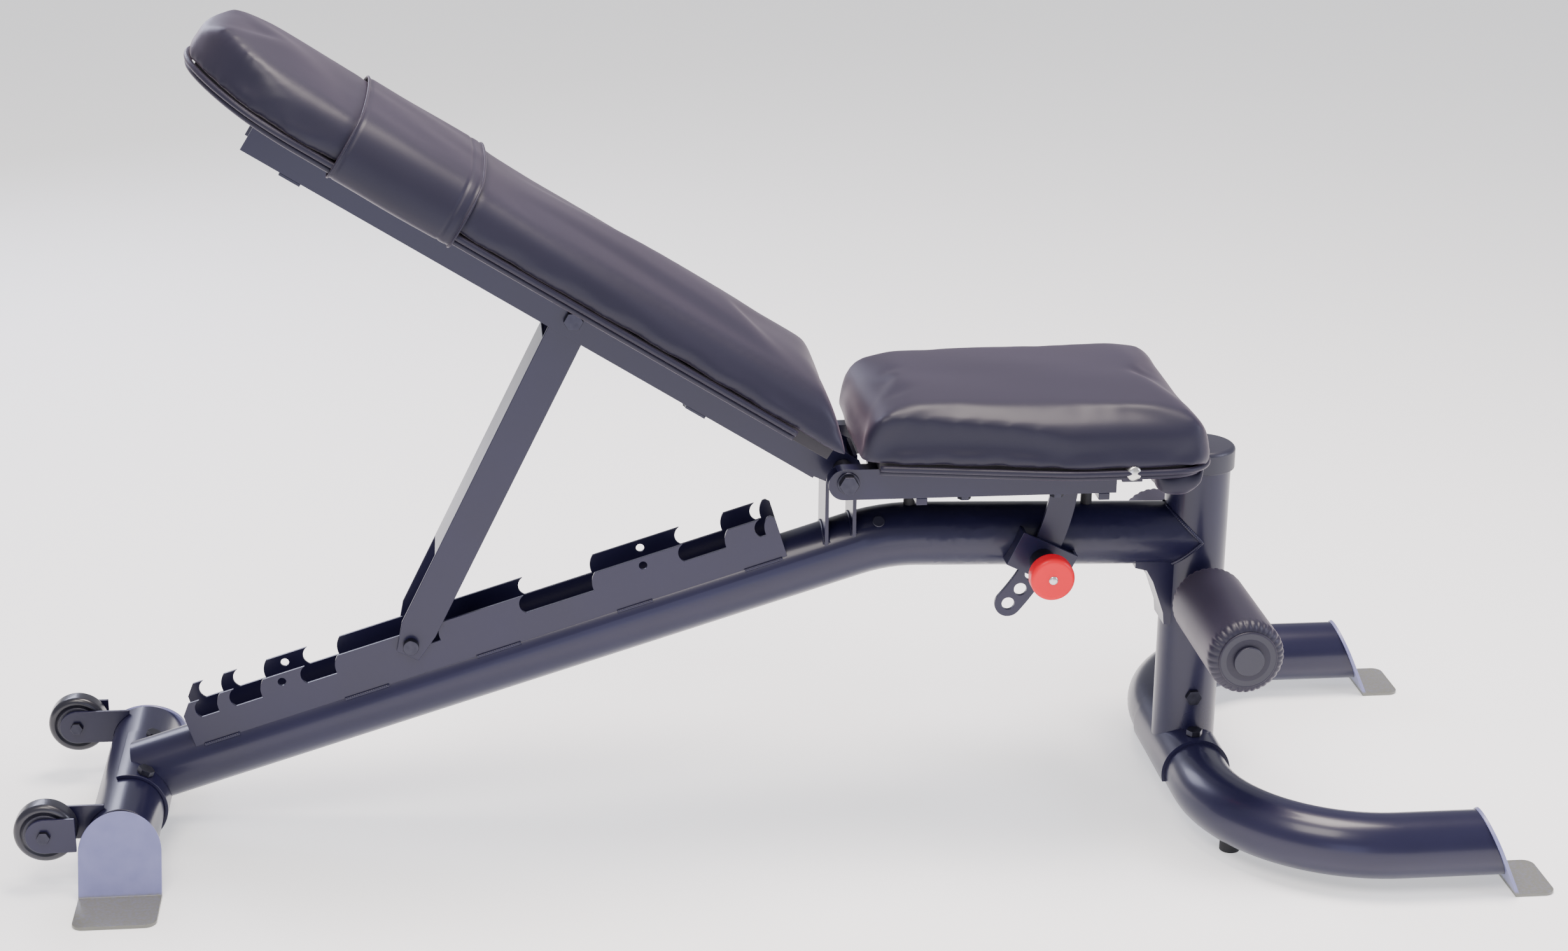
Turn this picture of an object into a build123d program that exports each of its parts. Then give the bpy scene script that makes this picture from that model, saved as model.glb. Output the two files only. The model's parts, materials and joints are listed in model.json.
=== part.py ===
"""Adjustable weight bench: every separate piece is one named sub-part in the shared row frame.

Millimetres.  +X runs from the wheels to the leg rollers, +Z is up, Y = 0 is the centre plane and the
floor is Z = 0.  "Near" is the -Y side, which carries the seat pull pin.
"""
import os
from math import cos, hypot, radians, sin

from build123d import *

os.makedirs("parts", exist_ok=True)

# ---------------------------------------------------------------- driving dimensions
tube_r = 35.0                     # spine, post and base tube outer radius
tube_wall = 3.0
spine_zero = 278.7                # spine axis height at x = 0
spine_slope = radians(17.3)
spine_rear_x = -690.0
spine_bend_x = 125.4
spine_bend_r = 220.0
spine_front_drop = radians(1.5)

post_x = 474.6
post_top = 410.0
cap_r = 38.8
cap_bottom = 387.5
cap_edge = 410.0
cap_crown = 415.0

base_z = 47.0                     # axis height of both floor tubes
base_x = 474.0
base_leg_y = 264.0
base_bend_r = 170.0
base_end_x = 766.0                # where the slanted leg end meets the floor plate
base_end_run = 35.0
end_rise = 80.0
plate_t = 4.0
front_foot_w = 77.0
front_tab_end = 807.0
rubber_foot_x = 489.5            # under the bends of the front tube
rubber_foot_y = 165.0
rubber_foot_r = 11.0
rear_tube_x = -698.0
rear_tube_r = 37.0
rear_end_y = 177.0
rear_end_run = 39.0
rear_foot_w = 86.0
rear_tab_end = 241.0
tab_corner_r = 12.0

saddle_t = 4.0
post_saddle_half = 68.0
post_saddle_bolt_y = 52.0
post_bolt_z = 125.0
gusset_half = 22.0                # half width of the gusset behind the post
gusset_cheek_t = 3.0
rear_saddle_half = 58.0
rear_saddle_bolt_y = 47.0
m10_r = 4.9
m10_hole_r = 5.0
m10_head_r = 9.2
m10_head_h = 6.5

ladder_inner_y = 25.3
ladder_t = 3.2
ladder_top_v = 70.6
ladder_rear_u = -650.0
ladder_front_u = 23.6
notch_floor_v = 51.0
# rear wall and front wall of each notch, along the ladder
notches = [(-635.6, -609.5), (-596.5, -560.5), (-516.0, -476.0), (-399.0, -358.5),
           (-268.0, -184.5), (-87.7, -34.0), (-1.2, 11.0)]
hook_overhang = 7.8
hook_round = 5.0                  # how far each tooth's rear corner is rounded back
ladder_hole_u = [-537.0, -127.5]
ladder_hole_r = 4.5

hinge_x = 74.0
hinge_z = 407.0
hinge_bolt_r = 6.0
run_gap = 0.08                    # radial gap of every running fit
sleeve_r = 13.0
sleeve_half = 33.0
upright_t = 4.0
upright_half = 30.0
upright_top = 419.0
hinge_head_y = 87.0
m12_head_r = 10.6
m12_head_h = 7.5
washer_r = 12.0
washer_t = 1.8

bar_angle = radians(32.07)        # slope of the backrest at rest
bar_hinge_v = 25.4                # hinge height over the bar's lower edge
bar_half = 37.0
bar_wall = 3.0
bar_height = 42.0
bar_rear_u = -713.5
bar_top_front_u = -22.0
ear_r = 20.0
pivot_u = -333.0
pivot_v = 19.0
board_t = 13.0
back_bolt_u = [-656.0, -169.6]

strut_half = 32.5
strut_wall = 3.0
strut_depth = 40.0
lock_pin_u = -392.0
lock_pin_v = 57.5
lock_pin_r = 6.0
lock_pin_head_r = 8.5
lock_pin_head_h = 9.0
strut_foot = 13.0
strut_web_start = 32.0
strut_web_end = 300.0

rail_inner_y = 66.0
rail_outer_y = 85.0
rail_low = 388.0
rail_high = 422.0
rail_rear_x = 53.0
rail_front_x = 363.0
rail_wall = 2.0
cross_bar_x = [153.0, 350.0]
cross_bar_w = 12.0
cross_bar_h = 8.0
bumper_r = 6.25
nose_bolt_x = 376.0
nose_bolt_z = 413.0
nose_bolt_r = 4.0
nose_ear_y = 96.0
nose_ear_t = 4.0
seat_board_low = 423.0
seat_board_high = 435.0
spacer_r = 11.0
seat_bolt_head_r = 7.5
seat_bolt_head_h = 5.0

sector_r = 243.7
sector_half_w = 15.0
sector_near_y = -44.0
sector_t = 5.0
sector_top_deg = -4.5
sector_low_deg = -40.8
sector_step_deg = 4.92
sector_first_deg = -26.05
sector_hole_r = 7.0

bracket_near_y = -52.0
bracket_t = 4.0
bracket_w = 68.0
bracket_h = 41.0
bracket_back_y = -16.0            # the bracket's two legs reach in to here
housing_r = 14.0
housing_len = 38.0
chamber_r = 10.0
pull_shaft_r = 5.0
knob_r = 24.0
knob_front_y = -112.0
knob_rear_y = -93.0

wheel_x = -774.5
wheel_z = 66.0
wheel_y = 138.0
wheel_r = 32.5
wheel_w = 24.0
hub_r = 22.0
bracket_plate_y = 16.0            # each bracket plate's distance from its wheel's middle
wheel_bracket_half = 19.0
axle_r = 4.0

roller_x = 480.4
roller_z = 245.7
roller_bar_r = 12.5
roller_r = 41.0
roller_in = 46.0
roller_out = 216.0
roller_disc_r = 30.0
roller_cap_r = 16.0
roller_cap_t = 4.0

# ---------------------------------------------------------------- frames of reference
spine_dir = (cos(spine_slope), 0, sin(spine_slope))
bar_dir = (cos(bar_angle), 0, -sin(bar_angle))
bar_up = (sin(bar_angle), 0, cos(bar_angle))
bar_origin = (hinge_x - bar_hinge_v * bar_up[0], 0, hinge_z - bar_hinge_v * bar_up[2])


def side_plane(y, x=0.0, z=0.0):
    """Plane that looks along +Y: local x is +X, local y is +Z, extrusion goes to -Y."""
    return Plane(origin=(x, y, z), x_dir=(1, 0, 0), z_dir=(0, -1, 0))


def ladder_plane(y):
    """Side plane turned to the spine: local x along the spine, local y square to it."""
    return Plane(origin=(0, y, spine_zero), x_dir=spine_dir, z_dir=(0, -1, 0))


def bar_plane(y):
    """Side plane turned to the backrest: local x from the head towards the hinge, local y out of the pad."""
    return Plane(origin=(bar_origin[0], y, bar_origin[2]), x_dir=bar_dir, z_dir=(0, -1, 0))


def bar_floor(v):
    """Plane parallel to the backrest pad at height v: local x towards the hinge, local y is +Y."""
    origin = (bar_origin[0] + v * bar_up[0], 0, bar_origin[2] + v * bar_up[2])
    return Plane(origin=origin, x_dir=bar_dir, z_dir=bar_up)


def in_row(u, v):
    """Row X and Z of a point given along and square to the spine."""
    return (u * spine_dir[0] - v * spine_dir[2], spine_zero + u * spine_dir[2] + v * spine_dir[0])


def on_bar(u, v):
    """Row X and Z of a point on the backrest; u is counted from the hinge, v from the bar's lower edge."""
    return (bar_origin[0] + u * bar_dir[0] + v * bar_up[0], bar_origin[2] + u * bar_dir[2] + v * bar_up[2])


pivot_x, pivot_z = on_bar(pivot_u, pivot_v)
pin_x, pin_z = in_row(lock_pin_u, lock_pin_v)
strut_len = hypot(pin_x - pivot_x, pin_z - pivot_z)
strut_dir = ((pin_x - pivot_x) / strut_len, 0, (pin_z - pivot_z) / strut_len)


def strut_plane(y):
    """Side plane turned to the strut: local x from the pivot to the lock pin, local y to the front."""
    return Plane(origin=(pivot_x, y, pivot_z), x_dir=strut_dir, z_dir=(0, -1, 0))


# spine axis: sloping run, bend, almost level run to the post
bend_z = spine_zero + spine_bend_x * sin(spine_slope) / cos(spine_slope)
bend_turn = spine_slope + spine_front_drop
bend_tangent = spine_bend_r * sin(bend_turn / 2) / cos(bend_turn / 2)
spine_start = (spine_rear_x, 0, spine_zero + spine_rear_x * sin(spine_slope) / cos(spine_slope))
bend_in = (spine_bend_x - bend_tangent * cos(spine_slope), 0, bend_z - bend_tangent * sin(spine_slope))
bend_out_x = spine_bend_x + bend_tangent * cos(spine_front_drop)
bend_out = (bend_out_x, 0, bend_z - bend_tangent * sin(spine_front_drop))
spine_end = (post_x, 0, bend_z - (post_x - spine_bend_x) * sin(spine_front_drop))


def spine_axis_z(x):
    """Height of the spine's axis on its front run."""
    return bend_z - (x - spine_bend_x) * sin(spine_front_drop)


def sweep_spine(radius):
    """Round bar of the given radius along the spine's axis."""
    with BuildPart() as rod:
        with BuildLine() as axis_line:
            Line(spine_start, bend_in)
            TangentArc([bend_in, bend_out], tangent=spine_dir)
            Line(bend_out, spine_end)
        with BuildSketch(Plane(origin=spine_start, z_dir=spine_dir)):
            Circle(radius)
        sweep(path=axis_line.line)
    return rod.part


def sweep_base(radius):
    """Round bar of the given radius along the floor tube's U-shaped axis."""
    with BuildPart() as rod:
        with BuildLine() as axis_line:
            FilletPolyline((base_end_x + 30, -base_leg_y, base_z), (base_x, -base_leg_y, base_z),
                           (base_x, base_leg_y, base_z), (base_end_x + 30, base_leg_y, base_z), radius=base_bend_r)
        with BuildSketch(Plane(origin=(base_end_x + 30, -base_leg_y, base_z), z_dir=(-1, 0, 0))):
            Circle(radius)
        sweep(path=axis_line.line)
    return rod.part


def round_bar(radius, x, z, y_from, y_to):
    """Solid cylinder along Y."""
    with BuildPart() as rod:
        with BuildSketch(side_plane(y_to, x, z)):
            Circle(radius)
        extrude(amount=y_to - y_from)
    return rod.part


def hex_bolt(x, z, y_from, y_to, shaft_r, head_r, head_h):
    """Bolt along Y with its hexagon head outside y_from and a plain nut of the same size outside y_to."""
    with BuildPart() as bolt:
        with BuildSketch(side_plane(y_to, x, z)):
            Circle(shaft_r)
        extrude(amount=y_to - y_from)
        with BuildSketch(side_plane(y_from, x, z)):
            RegularPolygon(head_r, 6)
        extrude(amount=head_h)
        with BuildSketch(side_plane(y_to + head_h, x, z)):
            RegularPolygon(head_r, 6)
        extrude(amount=head_h)
    return bolt.part


def stud_bolt(plane, shaft_r, shaft_len, head_r, head_h):
    """Hexagon bolt whose head sits on the given plane and whose shaft goes back from it."""
    with BuildPart() as bolt:
        with BuildSketch(plane):
            RegularPolygon(head_r, 6)
        extrude(amount=head_h)
        with BuildSketch(plane):
            Circle(shaft_r)
        extrude(amount=-shaft_len)
    return bolt.part


def finish_part(builder, name):
    """Name the sub-part and write its STEP file."""
    builder.part.label = name
    export_step(builder.part, "parts/" + name + ".step")


spine_solid = sweep_spine(tube_r)
spine_bore = sweep_spine(tube_r - tube_wall)
base_solid = sweep_base(tube_r)
base_bore = sweep_base(tube_r - tube_wall)
rear_solid = round_bar(rear_tube_r, rear_tube_x, base_z, -200, 200)
rear_saddle_solid = round_bar(rear_tube_r + saddle_t, rear_tube_x, base_z, -200, 200)
post_saddle_solid = round_bar(tube_r + saddle_t, base_x, base_z, -200, 200)

# ---------------------------------------------------------------- main frame
with BuildPart() as spine_tube:
    add(spine_solid)
    add(spine_bore, mode=Mode.SUBTRACT)
    add(rear_saddle_solid, mode=Mode.SUBTRACT)
    with BuildSketch(Plane.XY):
        with Locations((post_x, 0)):
            Circle(tube_r)
    extrude(amount=post_top, mode=Mode.SUBTRACT)
finish_part(spine_tube, "spine_tube")

with BuildPart() as front_post:
    with BuildSketch(Plane.XY.offset(base_z)):
        with Locations((post_x, 0)):
            Circle(tube_r)
            Circle(tube_r - tube_wall, mode=Mode.SUBTRACT)
    extrude(amount=post_top - base_z)
    add(post_saddle_solid, mode=Mode.SUBTRACT)
    add(round_bar(roller_bar_r, roller_x, roller_z, -60, 60), mode=Mode.SUBTRACT)
    add(round_bar(m10_hole_r, post_x, post_bolt_z, -60, 60), mode=Mode.SUBTRACT)
finish_part(front_post, "front_post")

with BuildPart() as post_cap:
    with BuildSketch(side_plane(0, post_x)):
        with BuildLine():
            Line((0, cap_edge), (tube_r, cap_edge))
            Line((tube_r, cap_edge), (tube_r, cap_bottom))
            Line((tube_r, cap_bottom), (cap_r, cap_bottom))
            Line((cap_r, cap_bottom), (cap_r, cap_edge - 2))
            ThreePointArc((cap_r, cap_edge - 2), (cap_r - 2, cap_edge + 1.6), (cap_r - 6, cap_edge + 3))
            Line((cap_r - 6, cap_edge + 3), (0, cap_crown))
            Line((0, cap_crown), (0, cap_edge))
        make_face()
    revolve(axis=Axis((post_x, 0, 0), (0, 0, 1)))
finish_part(post_cap, "post_cap")

with BuildPart() as base_u_tube:
    add(base_solid)
    add(base_bore, mode=Mode.SUBTRACT)
    leg_cut_dir = (end_rise, 0, base_end_run)
    leg_cut_x = base_end_x - plate_t * hypot(end_rise, base_end_run) / end_rise
    split(bisect_by=Plane(origin=(leg_cut_x, 0, plate_t), z_dir=leg_cut_dir), keep=Keep.BOTTOM)
    with Locations((base_x, -post_saddle_bolt_y, base_z + tube_r), (base_x, post_saddle_bolt_y, base_z + tube_r)):
        Cylinder(m10_hole_r, 20, mode=Mode.SUBTRACT)
finish_part(base_u_tube, "base_u_tube")

with BuildPart() as post_saddle:
    with BuildSketch(side_plane(post_saddle_half, base_x, base_z)):
        Circle(tube_r + saddle_t)
        Circle(tube_r, mode=Mode.SUBTRACT)
        with Locations((0, -tube_r - saddle_t)):
            Rectangle(120, 2 * tube_r + 2 * saddle_t - 20, mode=Mode.SUBTRACT)
    extrude(amount=2 * post_saddle_half)
    with Locations((base_x, -post_saddle_bolt_y, base_z + tube_r), (base_x, post_saddle_bolt_y, base_z + tube_r)):
        Cylinder(m10_hole_r, 20, mode=Mode.SUBTRACT)
finish_part(post_saddle, "post_saddle")

with BuildPart() as saddle_bolts:
    for side in (-1, 1):
        head_z = base_z + tube_r + saddle_t
        head_plane = Plane(origin=(base_x, side * post_saddle_bolt_y, head_z), z_dir=(0, 0, 1))
        add(stud_bolt(head_plane, m10_r, 16, m10_head_r, m10_head_h))
    add(hex_bolt(post_x, post_bolt_z, -tube_r, tube_r, m10_r, m10_head_r, m10_head_h))
    bolt_dir = (sin(radians(25)), 0, cos(radians(25)))
    reach = rear_tube_r + saddle_t
    for side in (-1, 1):
        seat_point = (rear_tube_x + reach * bolt_dir[0], side * rear_saddle_bolt_y, base_z + reach * bolt_dir[2])
        with BuildSketch(Plane(origin=seat_point, z_dir=bolt_dir)):
            RegularPolygon(m10_head_r, 6)
        extrude(amount=m10_head_h)
finish_part(saddle_bolts, "saddle_bolts")

with BuildPart() as post_gusset:
    with BuildSketch(side_plane(gusset_half)):
        with BuildLine():
            Polyline((404, 276), (417, 272.6), (425, 258.7), (438, 222), (439.6, 208))
            Polyline((439.6, 208), (443.6, 208), (443.6, 224), (429, 260.5), (420, 276), (404, 280), (404, 276))
        make_face()
    extrude(amount=2 * gusset_half)
    for cheek_y in (gusset_half, -gusset_half + gusset_cheek_t):
        with BuildSketch(side_plane(cheek_y)):
            with BuildLine():
                Polyline((404, 276), (417, 272.6), (425, 258.7), (438, 222), (439.6, 208), (460, 208), (460, 320),
                         (404, 320), (404, 276))
            make_face()
        extrude(amount=gusset_cheek_t)
    add(spine_solid, mode=Mode.SUBTRACT)
    with BuildSketch(Plane.XY):
        with Locations((post_x, 0)):
            Circle(tube_r)
    extrude(amount=post_top, mode=Mode.SUBTRACT)
finish_part(post_gusset, "post_gusset")


def make_front_foot(side):
    """Bent floor plate that closes one slanted leg end of the front tube."""
    slope_len = hypot(base_end_run, end_rise)
    slope = (-base_end_run / slope_len, 0, end_rise / slope_len)
    out = (end_rise / slope_len, 0, base_end_run / slope_len)
    lower = 6.0
    origin = (base_end_x - lower * slope[0], side * base_leg_y, plate_t - lower * slope[2])
    with BuildPart() as foot:
        with BuildSketch(Plane(origin=origin, x_dir=(0, 1, 0), z_dir=out)):
            straight = slope_len + lower - front_foot_w / 2
            with Locations((0, straight / 2)):
                Rectangle(front_foot_w, straight)
            with Locations((0, straight)):
                Circle(front_foot_w / 2)
        extrude(amount=-plate_t)
        with BuildSketch(Plane.XY):
            tab_len = front_tab_end - base_end_x + 4
            with Locations((front_tab_end - tab_len / 2, side * base_leg_y)):
                Rectangle(tab_len, front_foot_w)
        extrude(amount=plate_t)
        with BuildSketch(Plane.XY):
            with Locations((base_end_x, side * base_leg_y)):
                Rectangle(200, 200)
        extrude(amount=-20, mode=Mode.SUBTRACT)
        outer = foot.edges().filter_by(Axis.Z).group_by(Axis.X)[-1]
        fillet(outer, tab_corner_r)
    return foot.part


def make_rear_foot(side):
    """Bent floor plate that closes one slanted end of the rear tube."""
    slope_len = hypot(rear_end_run, end_rise)
    slope = (0, -side * rear_end_run / slope_len, end_rise / slope_len)
    out = (0, side * end_rise / slope_len, rear_end_run / slope_len)
    lower = 6.0
    origin = (rear_tube_x, side * rear_end_y - lower * slope[1], plate_t - lower * slope[2])
    with BuildPart() as foot:
        with BuildSketch(Plane(origin=origin, x_dir=(-side, 0, 0), z_dir=out)):
            straight = slope_len + lower - rear_foot_w / 2
            with Locations((0, straight / 2)):
                Rectangle(rear_foot_w, straight)
            with Locations((0, straight)):
                Circle(rear_foot_w / 2)
        extrude(amount=-plate_t)
        with BuildSketch(Plane.XY):
            tab_len = rear_tab_end - rear_end_y + 4
            with Locations((rear_tube_x, side * (rear_tab_end - tab_len / 2))):
                Rectangle(rear_foot_w, tab_len)
        extrude(amount=plate_t)
        with BuildSketch(Plane.XY):
            with Locations((rear_tube_x, side * rear_end_y)):
                Rectangle(200, 200)
        extrude(amount=-20, mode=Mode.SUBTRACT)
        outer = foot.edges().filter_by(Axis.Z).group_by(Axis.Y)[0 if side < 0 else -1]
        fillet(outer, tab_corner_r)
    return foot.part


for foot_name, side in (("near", -1), ("far", 1)):
    with BuildPart() as front_foot:
        add(make_front_foot(side))
    finish_part(front_foot, "front_foot_" + foot_name)
    with BuildPart() as rear_foot:
        add(make_rear_foot(side))
    finish_part(rear_foot, "rear_foot_" + foot_name)

with BuildPart() as base_rubber_feet:
    for side in (-1, 1):
        with BuildSketch(Plane.XY):
            with Locations((rubber_foot_x, side * rubber_foot_y)):
                Circle(rubber_foot_r)
        extrude(amount=base_z)
    add(base_solid, mode=Mode.SUBTRACT)
finish_part(base_rubber_feet, "base_rubber_feet")

with BuildPart() as rear_cross_tube:
    add(rear_solid)
    with BuildSketch(side_plane(200, rear_tube_x, base_z)):
        Circle(rear_tube_r - tube_wall)
    extrude(amount=400, mode=Mode.SUBTRACT)
    rear_cut_y = rear_end_y - plate_t * hypot(end_rise, rear_end_run) / end_rise
    split(bisect_by=Plane(origin=(0, rear_cut_y, plate_t), z_dir=(0, end_rise, rear_end_run)), keep=Keep.BOTTOM)
    split(bisect_by=Plane(origin=(0, -rear_cut_y, plate_t), z_dir=(0, -end_rise, rear_end_run)), keep=Keep.BOTTOM)
finish_part(rear_cross_tube, "rear_cross_tube")

with BuildPart() as rear_saddle:
    with BuildSketch(side_plane(rear_saddle_half, rear_tube_x, base_z)):
        Circle(rear_tube_r + saddle_t)
        Circle(rear_tube_r, mode=Mode.SUBTRACT)
        with Locations(Location((-38, -30, 0), 17.3)):
            Rectangle(90, 160, mode=Mode.SUBTRACT)
    extrude(amount=2 * rear_saddle_half)
finish_part(rear_saddle, "rear_saddle")


def make_ladder(side):
    """One notched plate of the ladder that the backrest's lock pin drops in."""
    y_high = max(side * ladder_inner_y, side * (ladder_inner_y + ladder_t))
    with BuildPart() as ladder:
        with BuildSketch(ladder_plane(y_high)):
            with BuildLine():
                Polyline((ladder_rear_u, 14), (ladder_rear_u, 58), (ladder_rear_u + 10, ladder_top_v),
                         (ladder_front_u - 4, ladder_top_v), (ladder_front_u, ladder_top_v - 4),
                         (ladder_front_u, 14), (ladder_rear_u, 14))
            make_face()
            for rear_wall, front_wall in notches:
                tip = rear_wall + hook_overhang
                with BuildLine():
                    Line((tip, ladder_top_v + 5), (tip, ladder_top_v))
                    ThreePointArc((tip, ladder_top_v), (rear_wall, 60), (rear_wall + 4, notch_floor_v))
                    Line((rear_wall + 4, notch_floor_v), (front_wall - 2, notch_floor_v))
                    ThreePointArc((front_wall - 2, notch_floor_v), (front_wall - 0.5, 63),
                                  (front_wall + hook_round, ladder_top_v))
                    Polyline((front_wall + hook_round, ladder_top_v), (front_wall + hook_round, ladder_top_v + 5),
                             (tip, ladder_top_v + 5))
                make_face(mode=Mode.SUBTRACT)
            with Locations(*[(hole_u, 61.5) for hole_u in ladder_hole_u]):
                Circle(ladder_hole_r, mode=Mode.SUBTRACT)
        extrude(amount=ladder_t)
        add(spine_solid, mode=Mode.SUBTRACT)
    return ladder.part


for ladder_name, side in (("near", -1), ("far", 1)):
    with BuildPart() as ladder_plate:
        add(make_ladder(side))
    finish_part(ladder_plate, "ladder_" + ladder_name)

for upright_name, upright_x in (("rear", hinge_x - sleeve_r - upright_t), ("front", hinge_x + sleeve_r)):
    with BuildPart() as upright:
        with BuildSketch(Plane.XY.offset(300)):
            with Locations((upright_x + upright_t / 2, 0)):
                Rectangle(upright_t, 2 * upright_half)
        extrude(amount=upright_top - 300)
        add(spine_solid, mode=Mode.SUBTRACT)
        add(spine_bore, mode=Mode.SUBTRACT)
        keep_above = upright.part.solids().sort_by(Axis.Z)[-1]
    with BuildPart() as upright_kept:
        add(keep_above)
    finish_part(upright_kept, "upright_" + upright_name)

with BuildPart() as hinge_sleeve:
    with BuildSketch(side_plane(sleeve_half, hinge_x, hinge_z)):
        Circle(sleeve_r)
        Circle(hinge_bolt_r + run_gap, mode=Mode.SUBTRACT)
    extrude(amount=2 * sleeve_half)
finish_part(hinge_sleeve, "hinge_sleeve")

with BuildPart() as hinge_bolt:
    add(hex_bolt(hinge_x, hinge_z, -hinge_head_y, hinge_head_y, hinge_bolt_r, m12_head_r, m12_head_h))
finish_part(hinge_bolt, "hinge_bolt")

with BuildPart() as hinge_washers:
    for washer_y in (-hinge_head_y + washer_t, hinge_head_y):
        with BuildSketch(side_plane(washer_y, hinge_x, hinge_z)):
            Circle(washer_r)
            Circle(hinge_bolt_r + run_gap, mode=Mode.SUBTRACT)
        extrude(amount=washer_t)
finish_part(hinge_washers, "hinge_washers")

with BuildPart() as bumpers:
    for bumper_x in cross_bar_x:
        with BuildSketch(Plane.XY.offset(spine_axis_z(bumper_x))):
            with Locations((bumper_x, 0)):
                Circle(bumper_r)
        extrude(amount=rail_low - cross_bar_h - 0.2 - spine_axis_z(bumper_x))
    add(spine_solid, mode=Mode.SUBTRACT)
finish_part(bumpers, "bumpers")

with BuildPart() as spine_plug:
    plug_dir = (0, -sin(radians(45)), cos(radians(45)))
    plug_x = 116.0
    plug_axis_z = 315.4
    plug_seat = (plug_x, tube_r * plug_dir[1], plug_axis_z + tube_r * plug_dir[2])
    with BuildSketch(Plane(origin=plug_seat, z_dir=plug_dir)):
        Circle(6.5)
    extrude(amount=2.5)
finish_part(spine_plug, "spine_plug")

# ---------------------------------------------------------------- seat pull pin mechanism
plunger_dir = (cos(radians(sector_first_deg)), 0, sin(radians(sector_first_deg)))
plunger_x = hinge_x + sector_r * plunger_dir[0]
plunger_z = hinge_z + sector_r * plunger_dir[2]


def plunger_plane(y):
    """Side plane at the pull pin: local x away from the hinge, local y square to it."""
    return Plane(origin=(plunger_x, y, plunger_z), x_dir=plunger_dir, z_dir=(0, -1, 0))


with BuildPart() as plunger_bracket:
    with BuildSketch(plunger_plane(bracket_near_y + bracket_t)):
        Rectangle(bracket_w, bracket_h)
        Circle(pull_shaft_r + run_gap, mode=Mode.SUBTRACT)
    extrude(amount=bracket_t)
    leg_at = (bracket_w - bracket_t) / 2
    with BuildSketch(plunger_plane(bracket_back_y)):
        with Locations((-leg_at, 0), (leg_at, 0)):
            Rectangle(bracket_t, bracket_h)
    extrude(amount=bracket_back_y - bracket_near_y)
    add(spine_solid, mode=Mode.SUBTRACT)
finish_part(plunger_bracket, "plunger_bracket")

with BuildPart() as plunger_housing:
    with BuildSketch(plunger_plane(bracket_near_y)):
        Circle(housing_r)
    extrude(amount=housing_len)
    with BuildSketch(plunger_plane(bracket_near_y)):
        Circle(chamber_r)
    extrude(amount=housing_len - 5, mode=Mode.SUBTRACT)
    with BuildSketch(plunger_plane(bracket_near_y)):
        Circle(pull_shaft_r + run_gap)
    extrude(amount=housing_len, mode=Mode.SUBTRACT)
finish_part(plunger_housing, "plunger_housing")

spring_r = 7.6
spring_wire_r = 0.9
spring_y = -63.0
with BuildPart() as coil:
    with BuildLine() as coil_line:
        Helix(pitch=4.2, height=19.5, radius=spring_r)
    with BuildSketch(Plane(origin=coil_line.line @ 0, z_dir=coil_line.line % 0)):
        Circle(spring_wire_r)
    sweep(path=coil_line.line, is_frenet=True)
with BuildPart() as plunger_spring:
    add(coil.part.moved(plunger_plane(spring_y).location))
finish_part(plunger_spring, "plunger_spring")

with BuildPart() as pull_pin:
    with BuildSketch(plunger_plane(sector_near_y - 0.6)):
        Circle(pull_shaft_r)
    extrude(amount=sector_near_y - 0.6 - knob_rear_y + 8)
    with BuildSketch(plunger_plane(-53.5)):
        Circle(chamber_r - 0.6)
    extrude(amount=5)
finish_part(pull_pin, "pull_pin")

with BuildPart() as knob:
    with BuildSketch(plunger_plane(knob_rear_y)):
        Circle(knob_r)
    extrude(amount=knob_rear_y - knob_front_y)
    fillet(knob.edges().group_by(Axis.Y)[0], 5)
    fillet(knob.edges().group_by(Axis.Y)[-1], 2)
    with BuildSketch(plunger_plane(knob_rear_y)):
        Circle(pull_shaft_r)
    extrude(amount=8, mode=Mode.SUBTRACT)
finish_part(knob, "knob")

# ---------------------------------------------------------------- backrest
with BuildPart() as back_bar:
    with BuildSketch(bar_plane(bar_half)):
        with BuildLine():
            Polyline((bar_rear_u, 0), (bar_rear_u, bar_height), (bar_top_front_u, bar_height),
                     (bar_top_front_u, 0), (bar_rear_u, 0))
        make_face()
    extrude(amount=2 * bar_half)
    with BuildSketch(bar_plane(bar_half)):
        with Locations((-52, bar_height / 2)):
            Rectangle(30, bar_height)
        with Locations((0, bar_hinge_v)):
            Circle(ear_r)
        make_hull()
        with Locations((-30, bar_height + 10)):
            Rectangle(120, 20, mode=Mode.SUBTRACT)
    extrude(amount=2 * bar_half)
    with BuildSketch(bar_plane(bar_half - bar_wall)):
        with Locations((bar_rear_u / 2, (bar_height - bar_wall) / 2 - 5)):
            Rectangle(-bar_rear_u + 200, bar_height - bar_wall + 10)
        with Locations((bar_top_front_u + 50, bar_height)):
            Rectangle(100, 60)
    extrude(amount=2 * (bar_half - bar_wall), mode=Mode.SUBTRACT)
    with BuildSketch(bar_plane(bar_half)):
        with Locations((0, bar_hinge_v)):
            Circle(hinge_bolt_r + run_gap)
        with Locations((pivot_u, pivot_v)):
            Circle(hinge_bolt_r)
    extrude(amount=2 * bar_half, mode=Mode.SUBTRACT)
    with BuildSketch(bar_floor(bar_height)):
        with Locations(*[(bolt_u, 0) for bolt_u in back_bolt_u]):
            Circle(m10_hole_r)
    extrude(amount=-10, mode=Mode.SUBTRACT)
finish_part(back_bar, "back_bar")

back_foot_u = -24.0
back_split_u = -88.0
head_u = -807.0
back_half = 126.0
cushion_v = bar_height + board_t


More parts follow.
